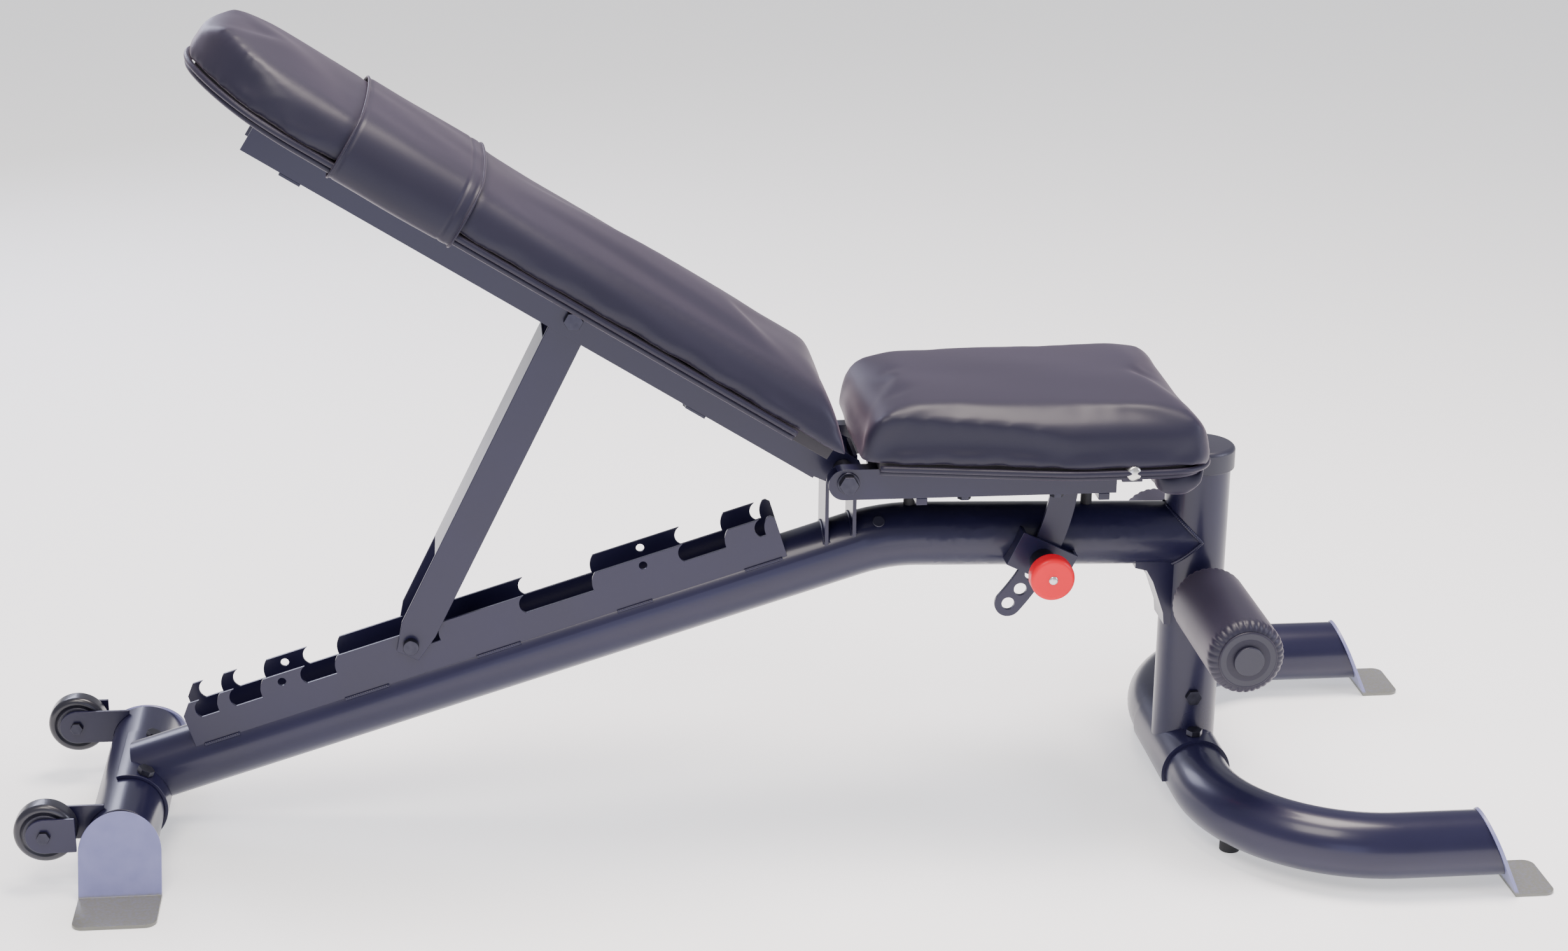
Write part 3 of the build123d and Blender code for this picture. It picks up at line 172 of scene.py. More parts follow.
class MaterialBook:
    """Builds each finish once and hands it out."""

    def __init__(self) -> None:
        """Starts with no finish made."""
        self.made: dict[str, bpy.types.Material] = {}

    def get(self, fin: Finish) -> bpy.types.Material:
        """Material of a finish.

        Args:
            fin: the finish.
        Returns:
            The Blender material.
        """
        if fin.title not in self.made:
            self.made[fin.title] = self._build(fin)
        return self.made[fin.title]

    @staticmethod
    def _noise(nodes: bpy.types.Nodes, links: bpy.types.NodeLinks, vector: bpy.types.NodeSocket, size_mm: float,
               detail: float = 3.0) -> bpy.types.Node:
        """Cloudy noise whose features are about size_mm across.

        Args:
            nodes: the material's nodes.
            links: the material's links.
            vector: coordinates to read.
            size_mm: feature size.
            detail: octaves.
        Returns:
            The noise node.
        """
        node = nodes.new("ShaderNodeTexNoise")
        node.inputs["Scale"].default_value = 1.0 / (size_mm * MM)
        node.inputs["Detail"].default_value = detail
        links.new(vector, node.inputs["Vector"])
        return node

    def _build(self, fin: Finish) -> bpy.types.Material:
        """Node tree of a finish: two close colours in soft patches, uneven gloss and a fine relief.

        Args:
            fin: the finish.
        Returns:
            The Blender material.
        """
        mat = bpy.data.materials.new(fin.title)
        mat.use_nodes = True
        nodes, links = mat.node_tree.nodes, mat.node_tree.links
        shader = next(n for n in nodes if n.type == "BSDF_PRINCIPLED")
        coords = nodes.new("ShaderNodeTexCoord").outputs["Object"]
        shader.inputs["Metallic"].default_value = fin.metallic
        shader.inputs["Coat Weight"].default_value = fin.coat
        shader.inputs["Coat Roughness"].default_value = fin.coat_rough
        shader.inputs["Specular IOR Level"].default_value = fin.specular
        shader.inputs["Sheen Weight"].default_value = fin.sheen
        shader.inputs["Sheen Roughness"].default_value = 0.45
        shader.inputs["Sheen Tint"].default_value = linear(fin.sheen_tint)
        patch = self._noise(nodes, links, coords, fin.patch_mm, 4.0)
        mix = nodes.new("ShaderNodeMix")
        mix.data_type = "RGBA"
        mix.inputs["A"].default_value = linear(fin.base)
        mix.inputs["B"].default_value = linear(fin.second)
        links.new(patch.outputs["Fac"], mix.inputs["Factor"])
        colour = mix.outputs["Result"]
        if fin.dust:
            colour = self._dusty(nodes, links, coords, colour, fin)
        links.new(colour, shader.inputs["Base Color"])
        span = nodes.new("ShaderNodeMapRange")
        span.inputs["To Min"].default_value = fin.roughness - fin.rough_swing
        span.inputs["To Max"].default_value = fin.roughness + fin.rough_swing
        links.new(patch.outputs["Fac"], span.inputs["Value"])
        links.new(span.outputs["Result"], shader.inputs["Roughness"])
        height = self._relief(nodes, links, coords, fin)
        bump = nodes.new("ShaderNodeBump")
        bump.inputs["Strength"].default_value = 0.8
        bump.inputs["Distance"].default_value = fin.depth_mm * MM
        links.new(height, bump.inputs["Height"])
        links.new(bump.outputs["Normal"], shader.inputs["Normal"])
        return mat

    def _dusty(self, nodes: bpy.types.Nodes, links: bpy.types.NodeLinks, coords: bpy.types.NodeSocket,
               colour: bpy.types.NodeSocket, fin: Finish) -> bpy.types.NodeSocket:
        """Grey dust up to a height over the floor, with a ragged upper edge.

        Args:
            nodes: the material's nodes.
            links: the material's links.
            coords: object coordinates.
            colour: the clean colour.
            fin: the finish.
        Returns:
            The colour with its dust.
        """
        apart = nodes.new("ShaderNodeSeparateXYZ")
        links.new(coords, apart.inputs["Vector"])
        grit = self._noise(nodes, links, coords, 3.0, 3.0)
        ragged = nodes.new("ShaderNodeMath")
        ragged.operation = "MULTIPLY_ADD"
        links.new(grit.outputs["Fac"], ragged.inputs[0])
        ragged.inputs[1].default_value = 2.5 * MM
        links.new(apart.outputs["Z"], ragged.inputs[2])
        high = nodes.new("ShaderNodeMapRange")
        high.inputs["From Min"].default_value = fin.dust_top_mm * MM
        high.inputs["From Max"].default_value = (fin.dust_top_mm + 3.0) * MM
        links.new(ragged.outputs[0], high.inputs["Value"])
        blend = nodes.new("ShaderNodeMix")
        blend.data_type = "RGBA"
        blend.inputs["A"].default_value = linear(fin.dust)
        links.new(colour, blend.inputs["B"])
        links.new(high.outputs["Result"], blend.inputs["Factor"])
        return blend.outputs["Result"]

    def _relief(self, nodes: bpy.types.Nodes, links: bpy.types.NodeLinks, coords: bpy.types.NodeSocket,
                fin: Finish) -> bpy.types.NodeSocket:
        """Height of the finish's pattern.

        Args:
            nodes: the material's nodes.
            links: the material's links.
            coords: object coordinates.
            fin: the finish.
        Returns:
            The height socket.
        """
        if fin.pattern is Pattern.GRAIN:
            bend = self._noise(nodes, links, coords, fin.cell_mm * 2.5, 1.0)
            add = nodes.new("ShaderNodeVectorMath")
            add.operation = "MULTIPLY_ADD"
            links.new(bend.outputs["Color"], add.inputs[0])
            add.inputs[1].default_value = (fin.cell_mm * MM,) * 3
            links.new(coords, add.inputs[2])
            cell = nodes.new("ShaderNodeTexVoronoi")
            cell.feature = "DISTANCE_TO_EDGE"
            cell.inputs["Scale"].default_value = 1.0 / (fin.cell_mm * MM)
            links.new(add.outputs[0], cell.inputs["Vector"])
            return cell.outputs["Distance"]
        if fin.pattern in (Pattern.BRUSHED, Pattern.FIBRES):
            stretch = nodes.new("ShaderNodeMapping")
            stretch.inputs["Scale"].default_value = (0.12, 1.0, 1.0)
            links.new(coords, stretch.inputs["Vector"])
            return self._noise(nodes, links, stretch.outputs["Vector"], fin.cell_mm, 2.0).outputs["Fac"]
        return self._noise(nodes, links, coords, fin.cell_mm, 2.0).outputs["Fac"]


BOOK = MaterialBook()

# ------------------------------------------------------------------ shape helpers


def unit(v: np.ndarray) -> np.ndarray:
    """Row-wise unit vectors: each row divided by its length."""
    return v / np.linalg.norm(v, axis=-1, keepdims=True)


def grid_object(name: str, pts: np.ndarray, wrap_rows: bool, wrap_cols: bool, cap: bool = False) -> bpy.types.Object:
    """Object made of a grid of quads; row i, column j joins its next row and column.

    Args:
        name: object name.
        pts: rows x columns x 3 points.
        wrap_rows: join the last row to the first.
        wrap_cols: join the last column to the first.
        cap: close both open ends of a tube of columns with fans.
    Returns:
        The linked object, smooth shaded.
    """
    rows, cols = pts.shape[:2]
    r = np.arange(rows if wrap_rows else rows - 1)
    c = np.arange(cols if wrap_cols else cols - 1)
    rr, cc = np.meshgrid(r, c, indexing="ij")
    r2, c2 = (rr + 1) % rows, (cc + 1) % cols
    quads = np.stack([rr * cols + cc, rr * cols + c2, r2 * cols + c2, r2 * cols + cc], -1).reshape(-1, 4)
    verts = pts.reshape(-1, 3)
    faces = quads.tolist()
    if cap:
        base = len(verts)
        verts = np.vstack([verts, pts[0].mean(0), pts[-1].mean(0)])
        last = (rows - 1) * cols
        ring = np.arange(cols)
        nxt = (ring + 1) % cols
        faces += np.stack([np.full(cols, base), nxt, ring], -1).tolist()
        faces += np.stack([np.full(cols, base + 1), last + ring, last + nxt], -1).tolist()
    mesh = bpy.data.meshes.new(name)
    mesh.from_pydata(verts.tolist(), [], faces)
    mesh.polygons.foreach_set("use_smooth", np.ones(len(mesh.polygons), bool))
    obj = bpy.data.objects.new(name, mesh)
    bpy.context.scene.collection.objects.link(obj)
    face_out(obj)
    return obj


def face_out(obj: bpy.types.Object) -> None:
    """Turns the faces of a closed mesh outwards.

    Args:
        obj: the piece.
    """
    bm = bmesh.new()
    bm.from_mesh(obj.data)
    bmesh.ops.recalc_face_normals(bm, faces=bm.faces)
    bm.to_mesh(obj.data)
    bm.free()


def tube(name: str, path: np.ndarray, radius: float | np.ndarray, segs: int = 12, closed: bool = False,
         flat: np.ndarray | None = None) -> bpy.types.Object:
    """Round bar along a path: a circle stands square to the path at each of its points.

    Args:
        name: object name.
        path: N x 3 points.
        radius: one radius or one per point.
        segs: points round the circle.
        closed: the path is a loop.
        flat: normal of the plane that the path mostly lies in.
    Returns:
        The object.
    """
    if closed:
        tangent = unit(np.roll(path, -1, 0) - np.roll(path, 1, 0))
    else:
        tangent = unit(np.gradient(path, axis=0))
    up = np.array([0.0, 0.0, 1.0]) if flat is None else np.asarray(flat, float)
    side = unit(np.cross(tangent, up))
    top = np.cross(side, tangent)
    ang = np.linspace(0, 2 * np.pi, segs, endpoint=False)
    rad = np.broadcast_to(np.asarray(radius, float), (len(path),))[:, None, None]
    ring = side[:, None, :] * np.cos(ang)[None, :, None] + top[:, None, :] * np.sin(ang)[None, :, None]
    return grid_object(name, path[:, None, :] + rad * ring, closed, True, cap=not closed)


def lathe(name: str, profile: np.ndarray, centre: Vector, segs: int = 96,
          ripple: Callable[[np.ndarray, np.ndarray], np.ndarray] | None = None) -> bpy.types.Object:
    """Surface turned about the Y axis through centre: each profile point (y, radius) draws a circle.

    Args:
        name: object name.
        profile: N x 2 of y offset and radius.
        centre: point on the axis.
        segs: points round the axis.
        ripple: optional function of (profile, angles) giving radius changes, N x segs.
    Returns:
        The object.
    """
    ang = np.linspace(0, 2 * np.pi, segs, endpoint=False)
    rad = np.repeat(profile[:, 1:2], segs, 1)
    if ripple is not None:
        rad = rad + ripple(profile, ang)
    pts = np.empty((len(profile), segs, 3))
    pts[..., 0] = centre[0] + rad * np.cos(ang)
    pts[..., 1] = centre[1] + profile[:, :1]
    pts[..., 2] = centre[2] + rad * np.sin(ang)
    return grid_object(name, pts, False, True, cap=bool(profile[0, 1] < 5 * MM))


def resample(points: np.ndarray, step: float) -> np.ndarray:
    """Points at even steps along a polyline, by linear interpolation over its running length.

    Args:
        points: N x k points.
        step: distance between the new points.
    Returns:
        The new points, ends included.
    """
    seg = np.linalg.norm(np.diff(points, axis=0), axis=1)
    dist = np.concatenate([[0], np.cumsum(seg)])
    count = max(3, int(round(dist[-1] / step)) + 1)
    at = np.linspace(0, dist[-1], count)
    return np.stack([np.interp(at, dist, points[:, k]) for k in range(points.shape[1])], 1)


def rounded(points: np.ndarray, step: float, passes: int = 12) -> np.ndarray:
    """Even samples of a polyline with its corners smoothed by repeated averaging; the ends stay.

    Args:
        points: N x k points.
        step: distance between samples.
        passes: how many times each point moves to the mean of itself and its neighbours.
    Returns:
        The smoothed points.
    """
    out = resample(points, step)
    for _ in range(passes):
        out[1:-1] = 0.25 * out[:-2] + 0.5 * out[1:-1] + 0.25 * out[2:]
    return out


def dress(obj: bpy.types.Object, look: Look, body: str, finish: Finish | None = None) -> bpy.types.Object:
    """Gives a new piece the material of its slot and its body.

    Args:
        obj: the piece.
        look: its material slot.
        body: CAD body it moves with.
        finish: finish other than the slot's usual one.
    Returns:
        The same piece.
    """
    obj.data.materials.clear()
    obj.data.materials.append(BOOK.get(finish or FINISHES[look]))
    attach(obj, body)
    return obj


def bake(obj: bpy.types.Object) -> None:
    """Applies every modifier to the object's own mesh.

    Args:
        obj: the piece.
    """
    graph = bpy.context.evaluated_depsgraph_get()
    mesh = bpy.data.meshes.new_from_object(obj.evaluated_get(graph))
    old = obj.data
    obj.modifiers.clear()
    obj.data = mesh
    bpy.data.meshes.remove(old)


def coords_of(obj: bpy.types.Object) -> np.ndarray:
    """Vertex positions of a mesh.

    Args:
        obj: the piece to read.

    Returns:
        An N x 3 array in metres.
    """
    co = np.empty(len(obj.data.vertices) * 3)
    obj.data.vertices.foreach_get("co", co)
    return co.reshape(-1, 3)


def set_coords(obj: bpy.types.Object, co: np.ndarray) -> None:
    """Writes vertex positions back."""
    obj.data.vertices.foreach_set("co", co.reshape(-1))
    obj.data.update()


def add_subsurf(obj: bpy.types.Object, levels: int = 1) -> None:
    """Subdivides smoothly by the same amount in view and render.

    Args:
        obj: the piece.
        levels: how often each face is split.
    """
    mod = obj.modifiers.new("smooth", "SUBSURF")
    mod.levels = levels
    mod.render_levels = levels


# ------------------------------------------------------------------ the backrest's own directions


@dataclass
class PadFrame:
    """Directions of the backrest at rest: u towards the hinge, v out of the pad, counted from the hinge."""

    slope: float = math.radians(32.07)
    hinge_v: float = 25.4 * MM

    def __post_init__(self) -> None:
        """Takes the hinge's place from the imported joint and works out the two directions."""
        joint = next(j for j in frame["joints"] if j["name"] == "back_hinge")
        self.hinge = np.array(joint["pos_m"])
        self.u_dir = np.array([math.cos(self.slope), 0, -math.sin(self.slope)])
        self.v_dir = np.array([math.sin(self.slope), 0, math.cos(self.slope)])
        self.origin = self.hinge - self.hinge_v * self.v_dir

    def place(self, u: np.ndarray, y: np.ndarray, v: np.ndarray) -> np.ndarray:
        """Row positions of pad coordinates: the origin plus u, v and y along their own directions.

        Args:
            u: along the pad, towards the hinge.
            y: across the pad.
            v: out of the pad.
        Returns:
            Positions with one more axis of length 3.
        """
        u, y, v = np.broadcast_arrays(u, y, v)
        return self.origin + u[..., None] * self.u_dir + v[..., None] * self.v_dir + y[..., None] * np.array([0, 1, 0])

    def split(self, co: np.ndarray) -> tuple[np.ndarray, np.ndarray, np.ndarray]:
        """Pad coordinates of row positions: the offsets' parts along each pad direction.

        Args:
            co: N x 3 positions.
        Returns:
            Arrays u, y and v.
        """
        d = co - self.origin
        return d @ self.u_dir, d[:, 1], d @ self.v_dir


PAD = PadFrame()


# ------------------------------------------------------------------ simulated upholstery


@dataclass
class Upholstery:
    """A foam cushion whose skin is blown up by a short cloth run inside a displacement limit."""

    name: str
    nodes: tuple[str, ...]
    body: str
    voxel: float = 6 * MM
    pressure: float = 4.0
    limit: float = 4 * MM
    shrink: float = 0.012
    frames: int = 20

    def build(self, held: Mask, split_point: np.ndarray, split_dir: np.ndarray) -> bpy.types.Object:
        """Makes the cushion.

        Args:
            held: function from N x 3 positions to a mask of the vertices that stay put.
            split_point: a point on the plane that divides the CAD foam.
            split_dir: that plane's normal.
        Returns:
            The cushion, not yet riding on anything.
        """
        bm = bmesh.new()
        for node in self.nodes:
            bm.from_mesh(frame["nodes"][node].data)
        bmesh.ops.remove_doubles(bm, verts=bm.verts, dist=2e-5)
        point, normal = Vector(split_point), Vector(split_dir)
        inner = [f for f in bm.faces if all(abs((v.co - point).dot(normal)) < 3e-5 for v in f.verts)]
        bmesh.ops.delete(bm, geom=inner, context="FACES")
        mesh = bpy.data.meshes.new(self.name)
        bm.to_mesh(mesh)
        bm.free()
        obj = bpy.data.objects.new(self.name, mesh)
        bpy.context.scene.collection.objects.link(obj)
        remesh = obj.modifiers.new("even", "REMESH")
        remesh.mode = "VOXEL"
        remesh.voxel_size = self.voxel
        bake(obj)
        soften = obj.modifiers.new("round", "SMOOTH")
        soften.factor = 0.5
        soften.iterations = 6
        bake(obj)
        self._simulate(obj, held)
        obj.data.polygons.foreach_set("use_smooth", np.ones(len(obj.data.polygons), bool))
        return obj

    def _simulate(self, obj: bpy.types.Object, held: Mask) -> None:
        """Twenty frames of pressed-out cloth, each point's travel cut off at the limit, then a light smoothing.

        Args:
            obj: the evenly meshed pad.
            held: function from positions to a mask of the vertices that stay put.
        """
        start = coords_of(obj)
        mask = held(start)
        group = obj.vertex_groups.new(name="held")
        group.add(np.nonzero(mask)[0].tolist(), 1.0, "REPLACE")
        cloth = obj.modifiers.new("skin", "CLOTH")
        st = cloth.settings
        st.quality = 5
        st.mass = 0.3
        st.tension_stiffness = 25
        st.compression_stiffness = 25
        st.shear_stiffness = 12
        st.bending_stiffness = 25
        st.use_pressure = True
        st.uniform_pressure_force = self.pressure
        st.vertex_group_mass = "held"
        st.shrink_min = self.shrink
        st.effector_weights.gravity = 0
        cloth.collision_settings.use_collision = False
        scene = bpy.context.scene
        for step in range(1, self.frames + 1):
            scene.frame_set(step)
        bake(obj)
        scene.frame_set(1)
        end = coords_of(obj)
        if len(end) != len(start):
            LOG.warning("%s changed its vertex count", self.name)
            return
        move = end - start
        length = np.linalg.norm(move, axis=1, keepdims=True)
        move *= np.minimum(1, self.limit / np.maximum(length, 1e-9))
        move[mask] = 0
        set_coords(obj, start + move)
        calm = obj.modifiers.new("calm", "SMOOTH")
        calm.factor = 0.5
        calm.iterations = 10
        bake(obj)
        LOG.info("%s: mean lift %.2f mm", self.name, float(length.mean() / MM))


def bump_along_normals(obj: bpy.types.Object, amount: np.ndarray) -> None:
    """Moves each vertex along its normal by its amount.

    Args:
        obj: the piece.
        amount: one distance per vertex.
    """
    nrm = np.empty(len(obj.data.vertices) * 3)
    obj.data.vertices.foreach_get("normal", nrm)
    set_coords(obj, coords_of(obj) + nrm.reshape(-1, 3) * amount[:, None])


def window(x: np.ndarray, low: float, high: float, soft: float) -> np.ndarray:
    """1 between low and high, falling to 0 over soft on each side along a smooth step.

    Args:
        x: values.
        low: where the plateau starts.
        high: where it ends.
        soft: width of each flank.
    Returns:
        Weights from 0 to 1.
    """
    rise = np.clip((x - low) / soft + 1, 0, 1)
    fall = np.clip((high - x) / soft + 1, 0, 1)
    out = np.minimum(rise, fall)
    return out * out * (3 - 2 * out)


def pad_outline(margin: float) -> np.ndarray:
    """Plan outline of the backrest pad, from the near foot round the head to the far foot.

    Args:
        margin: how far the outline is drawn in.
    Returns:
        N x 2 points (u, y).
    """
    half, head = 126 * MM - margin, -807 * MM + margin
    u = np.array([-88 * MM, head + 112 * MM, head + 72 * MM, head + 38 * MM, head + 12 * MM, head])
    y = np.array([half, half, half - 12 * MM, half - 38 * MM, half - 70 * MM, half - 100 * MM])
    return np.stack([np.r_[u, u[::-1]], np.r_[-y, y[::-1]]], 1)


class Backrest:
    """Upholstered pad, head sleeve, edge beads and stitching of the backrest."""

    body = "backrest"
    sleeve_low = -632 * MM
    sleeve_high = -494 * MM

    def build(self) -> None:
        """Makes every soft piece of the backrest."""
        self.cushion()
        self.sleeve()
        self.bead()

    def cushion(self) -> None:
        """Simulated pad, held along its board and under the sleeve."""
        split_at = PAD.place(np.array(-88 * MM), np.array(0.0), np.array(0.0))

        def held(co: np.ndarray) -> np.ndarray:
            """Vertices near the board or under the sleeve."""
            u, _, v = PAD.split(co)
            return (v < 60 * MM) | ((u > self.sleeve_low) & (u < self.sleeve_high))

        obj = Upholstery("back_pad", ("back_cushion", "back_cushion_foot"), self.body).build(
            held, split_at, PAD.u_dir)
        u, y, v = PAD.split(coords_of(obj))
        free = 1 - window(u, self.sleeve_low - 3 * MM, self.sleeve_high + 3 * MM, 10 * MM)
        edge = window(v, 58 * MM, 68 * MM, 5 * MM)
        pucker = 0.7 * MM * np.sin(u / (11 * MM)) * edge * free
        press = -1.5 * MM * window(u, self.sleeve_low, self.sleeve_high, 6 * MM)
        soft = 0.6 * MM * np.sin(u / (47 * MM) + 3 * np.sin(y / (60 * MM))) * free
        bump_along_normals(obj, pucker + press + soft)
        add_subsurf(obj)
        dress(obj, Look.VINYL, self.body)
        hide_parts("back_cushion", "back_cushion_foot")

    def sleeve(self) -> None:
        """Slip-on vinyl band: the pad's section, drawn 2.5 mm out, carried along the pad with hemmed ends."""
        t = 2.2 * MM
        half = np.array([[46, 39.5], [118, 39.5], [126, 44], [127, 63], [124, 78], [116, 93], [104, 103], [80, 107.5],
                         [40, 110.5], [0, 111.5]]) * MM
        mirrored = half[::-1][1:] * np.array([-1, 1])
        section = rounded(np.vstack([half, mirrored]), 3 * MM, 10)
        grad = unit(np.gradient(section, axis=0))
        out = np.stack([grad[:, 1], -grad[:, 0]], 1)
        us = np.linspace(self.sleeve_low, self.sleeve_high, 93)
        seam = np.zeros_like(us)
        for centre, depth in ((self.sleeve_low + 4 * MM, -0.7), (self.sleeve_high - 4 * MM, -0.7),
                              (self.sleeve_high - 14 * MM, -0.9)):
            seam += depth * MM * np.exp(-((us - centre) / (1.3 * MM)) ** 2)
        wave = 0.35 * MM * np.sin(us[:, None] / (21 * MM) + 5 * section[None, :, 0] / (60 * MM))
        lift = t + seam[:, None] + wave
        yy = section[None, :, 0] + out[None, :, 0] * lift
        vv = section[None, :, 1] + out[None, :, 1] * lift
        pts = PAD.place(us[:, None] + 0 * yy, yy, vv)
        obj = grid_object("head_band", pts, False, False)
        solid = obj.modifiers.new("thick", "SOLIDIFY")
        solid.thickness = 1.2 * MM
        solid.offset = -1
        dress(obj, Look.VINYL, self.body)
        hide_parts("head_sleeve")
        for k, u_at in enumerate((self.sleeve_low + 0.5 * MM, self.sleeve_high - 0.5 * MM)):
            hem = section + out * t
            path = PAD.place(np.full(len(hem), u_at), hem[:, 0], hem[:, 1])
            cord = tube(f"band_hem_{k}", path, 1.3 * MM, 8, flat=PAD.u_dir)
            dress(cord, Look.VINYL, self.body)

    def bead(self) -> None:
        """Round edge bead along the pad's lower rim and the folded vinyl under it."""
        for k, (margin, v, r) in enumerate(((1.8 * MM, 52.5 * MM, 3.2 * MM), (6 * MM, 46.5 * MM, 3.4 * MM))):
            plan = rounded(pad_outline(margin), 5 * MM, 20)
            path = PAD.place(plan[:, 0], plan[:, 1], np.full(len(plan), v))
            bead = tube(f"pad_bead_{k}", path, r, 14, flat=PAD.v_dir)
            dress(bead, Look.VINYL, self.body)
            if k == 0:
                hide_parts("back_trim")


def seat_outline(margin: float) -> np.ndarray:
    """Plan outline of the seat pad, from the near tail round the nose to the far tail.

    Args:
        margin: how far the outline is drawn in.
    Returns:
        N x 2 points (x, y).
    """
    near = np.array([[104, -112], [300, -147], [418, -147], [436, -143], [452, -128], [457, -107]]) * MM
    near = near + np.array([0, margin])
    near[3:, 0] -= margin
    far = near[::-1] * np.array([1, -1])
    return np.vstack([near, far])


class Seat:
    """Upholstered seat pad with its gathered nose and edge bead."""

    body = "seat"

    def build(self) -> None:
        """Makes every soft piece of the seat."""

        def held(co: np.ndarray) -> np.ndarray:
            """Vertices near the board and in the nose."""
            return co[:, 2] < 440 * MM

        obj = Upholstery("seat_pad", ("seat_cushion", "seat_cushion_tail"), self.body, voxel=5 * MM,
                         limit=6 * MM).build(held, np.array([132 * MM, 0, 0]), np.array([1.0, 0, 0]))
        co = coords_of(obj)
        x, y, z = co.T
        nose = window(x, 420 * MM, 470 * MM, 35 * MM) * window(z, 395 * MM, 440 * MM, 18 * MM)
        gather = 1.3 * MM * np.sin((np.abs(y) + 0.6 * (x - 0.4)) / (4.2 * MM)) * nose
        rim = window(z, 437 * MM, 446 * MM, 5 * MM) * (1 - nose)
        pucker = 0.7 * MM * np.sin(x / (10 * MM) + 1.4 * np.sin(y / (31 * MM))) * rim
        soft = 0.6 * MM * np.sin(x / (39 * MM) + 2.2 * np.sin(y / (52 * MM)))
        bump_along_normals(obj, gather + pucker + soft)
        add_subsurf(obj)
        dress(obj, Look.VINYL, self.body)
        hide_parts("seat_cushion", "seat_cushion_tail")
        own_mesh(obj)
        for k, (margin, z_at, r) in enumerate(((1.5 * MM, 431 * MM, 3.2 * MM), (7 * MM, 425.5 * MM, 3.4 * MM))):
            plan = rounded(seat_outline(margin), 5 * MM, 16)
            path = np.column_stack([plan, np.full(len(plan), z_at)])
            bead = tube(f"seat_bead_{k}", path, r, 14)
            dress(bead, Look.VINYL, self.body)
            if k == 0:
                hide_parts("seat_trim")


class Rollers:
    """Stitched roller covers with pleats gathered round a flat end disc."""

    def build(self) -> None:
        """Makes both rollers."""
        for side, sign in (("near", -1), ("far", 1)):
            node = f"roller_foam_{side}"
            low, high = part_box(node)
            centre = (low + high) / 2
            half = (high[1] - low[1]) / 2
            radius = (high[2] - low[2]) / 2
            t = np.linspace(0, math.pi / 2, 14)
            corner = 11 * MM
            arc = np.stack([half - corner + corner * np.sin(t), radius - corner + corner * np.cos(t)], 1)
            body = np.stack([np.linspace(0, half - corner, 24)[:-1], np.full(23, radius)], 1)
            dish = np.full(6, half) - np.linspace(0, 1.2, 6) * MM
            end = np.stack([dish, np.linspace(radius - corner, 16 * MM, 6)], 1)
            one = np.vstack([body, arc, end[1:]])
            profile = np.vstack([one[::-1] * np.array([-1, 1]), one[1:]])

            def pleats(prof: np.ndarray, ang: np.ndarray) -> np.ndarray:
                """Folds drawn in near each end: a squared sine round the axis, fading in along the profile.

                Args:
                    prof: profile points (y, radius).
                    ang: angles round the axis.

                Returns:
                    How far each grid point moves outwards; inwards is negative.
                """
                dist = np.abs(prof[:, 0]) - (half - 14 * MM)
                fade = np.clip(dist / (8 * MM), 0, 1) * np.clip((prof[:, 1] - 20 * MM) / (8 * MM), 0, 1)
                return -1.1 * MM * fade[:, None] * (0.5 + 0.5 * np.sin(34 * ang + 0.8 * np.sin(5 * ang)))[None, :] ** 2

            obj = lathe(f"roller_cover_{side}", profile, centre, 272, pleats)
            dress(obj, Look.FOAM, f"roller_{side}")
            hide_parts(node)
            self.end_disc(side, sign, centre, half)

    def end_disc(self, side: str, sign: int, centre: Vector, half: float) -> None:
        """Vinyl-covered end disc, domed by a shallow ellipse, with a bead round it.

        Args:
            side: "near" or "far".
            sign: side of the centre plane.
            centre: middle of the roller.
            half: half the roller's length.
        """
        t = np.linspace(0, 1, 12)
        dome = np.stack([sign * (half + 0.6 * MM + 2.2 * MM * np.sqrt(1 - 0.96 * t ** 2)), 30 * MM * t + 0.01 * MM], 1)
        back = np.array([[sign * (half - 1.5 * MM), 29.5 * MM], [sign * (half - 1.5 * MM), 0.01 * MM]])
        disc = lathe(f"roller_end_{side}", np.vstack([dome, back]), centre, 96)
        dress(disc, Look.FOAM, f"roller_{side}")
        ang = np.linspace(0, 2 * np.pi, 120, endpoint=False)
        ring = np.stack([centre[0] + 30 * MM * np.cos(ang), np.full(120, centre[1] + sign * (half + 0.8 * MM)),
                         centre[2] + 30 * MM * np.sin(ang)], 1)
        bead = tube(f"roller_ring_{side}", ring, 1.3 * MM, 8, closed=True, flat=np.array([0, 1, 0]))
        dress(bead, Look.FOAM, f"roller_{side}")


class Wheels:
    """Transport wheel treads turned with round shoulders."""

    def build(self) -> None:
        """Makes both treads."""
        for side in ("near", "far"):
            low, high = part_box(f"tyre_{side}")
            centre = (low + high) / 2
            half = (high[1] - low[1]) / 2
            radius = (high[2] - low[2]) / 2
            t = np.linspace(0, math.pi / 2, 12)
            r = 6 * MM
            arc = np.stack([half - r + r * np.sin(t), radius - r + r * np.cos(t)], 1)
            face = np.array([[half, 25 * MM], [half - 1.5 * MM, 24 * MM], [half - 1.5 * MM, 21.5 * MM]])
            one = np.vstack([[0, radius], arc, face])
            profile = np.vstack([one[::-1] * np.array([-1, 1]), one[1:]])
            profile = np.vstack([profile, profile[:1]])
            obj = lathe(f"tread_{side}", profile, centre, 128)
            dress(obj, Look.TYRE, f"wheel_{side}")
            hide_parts(f"tyre_{side}")


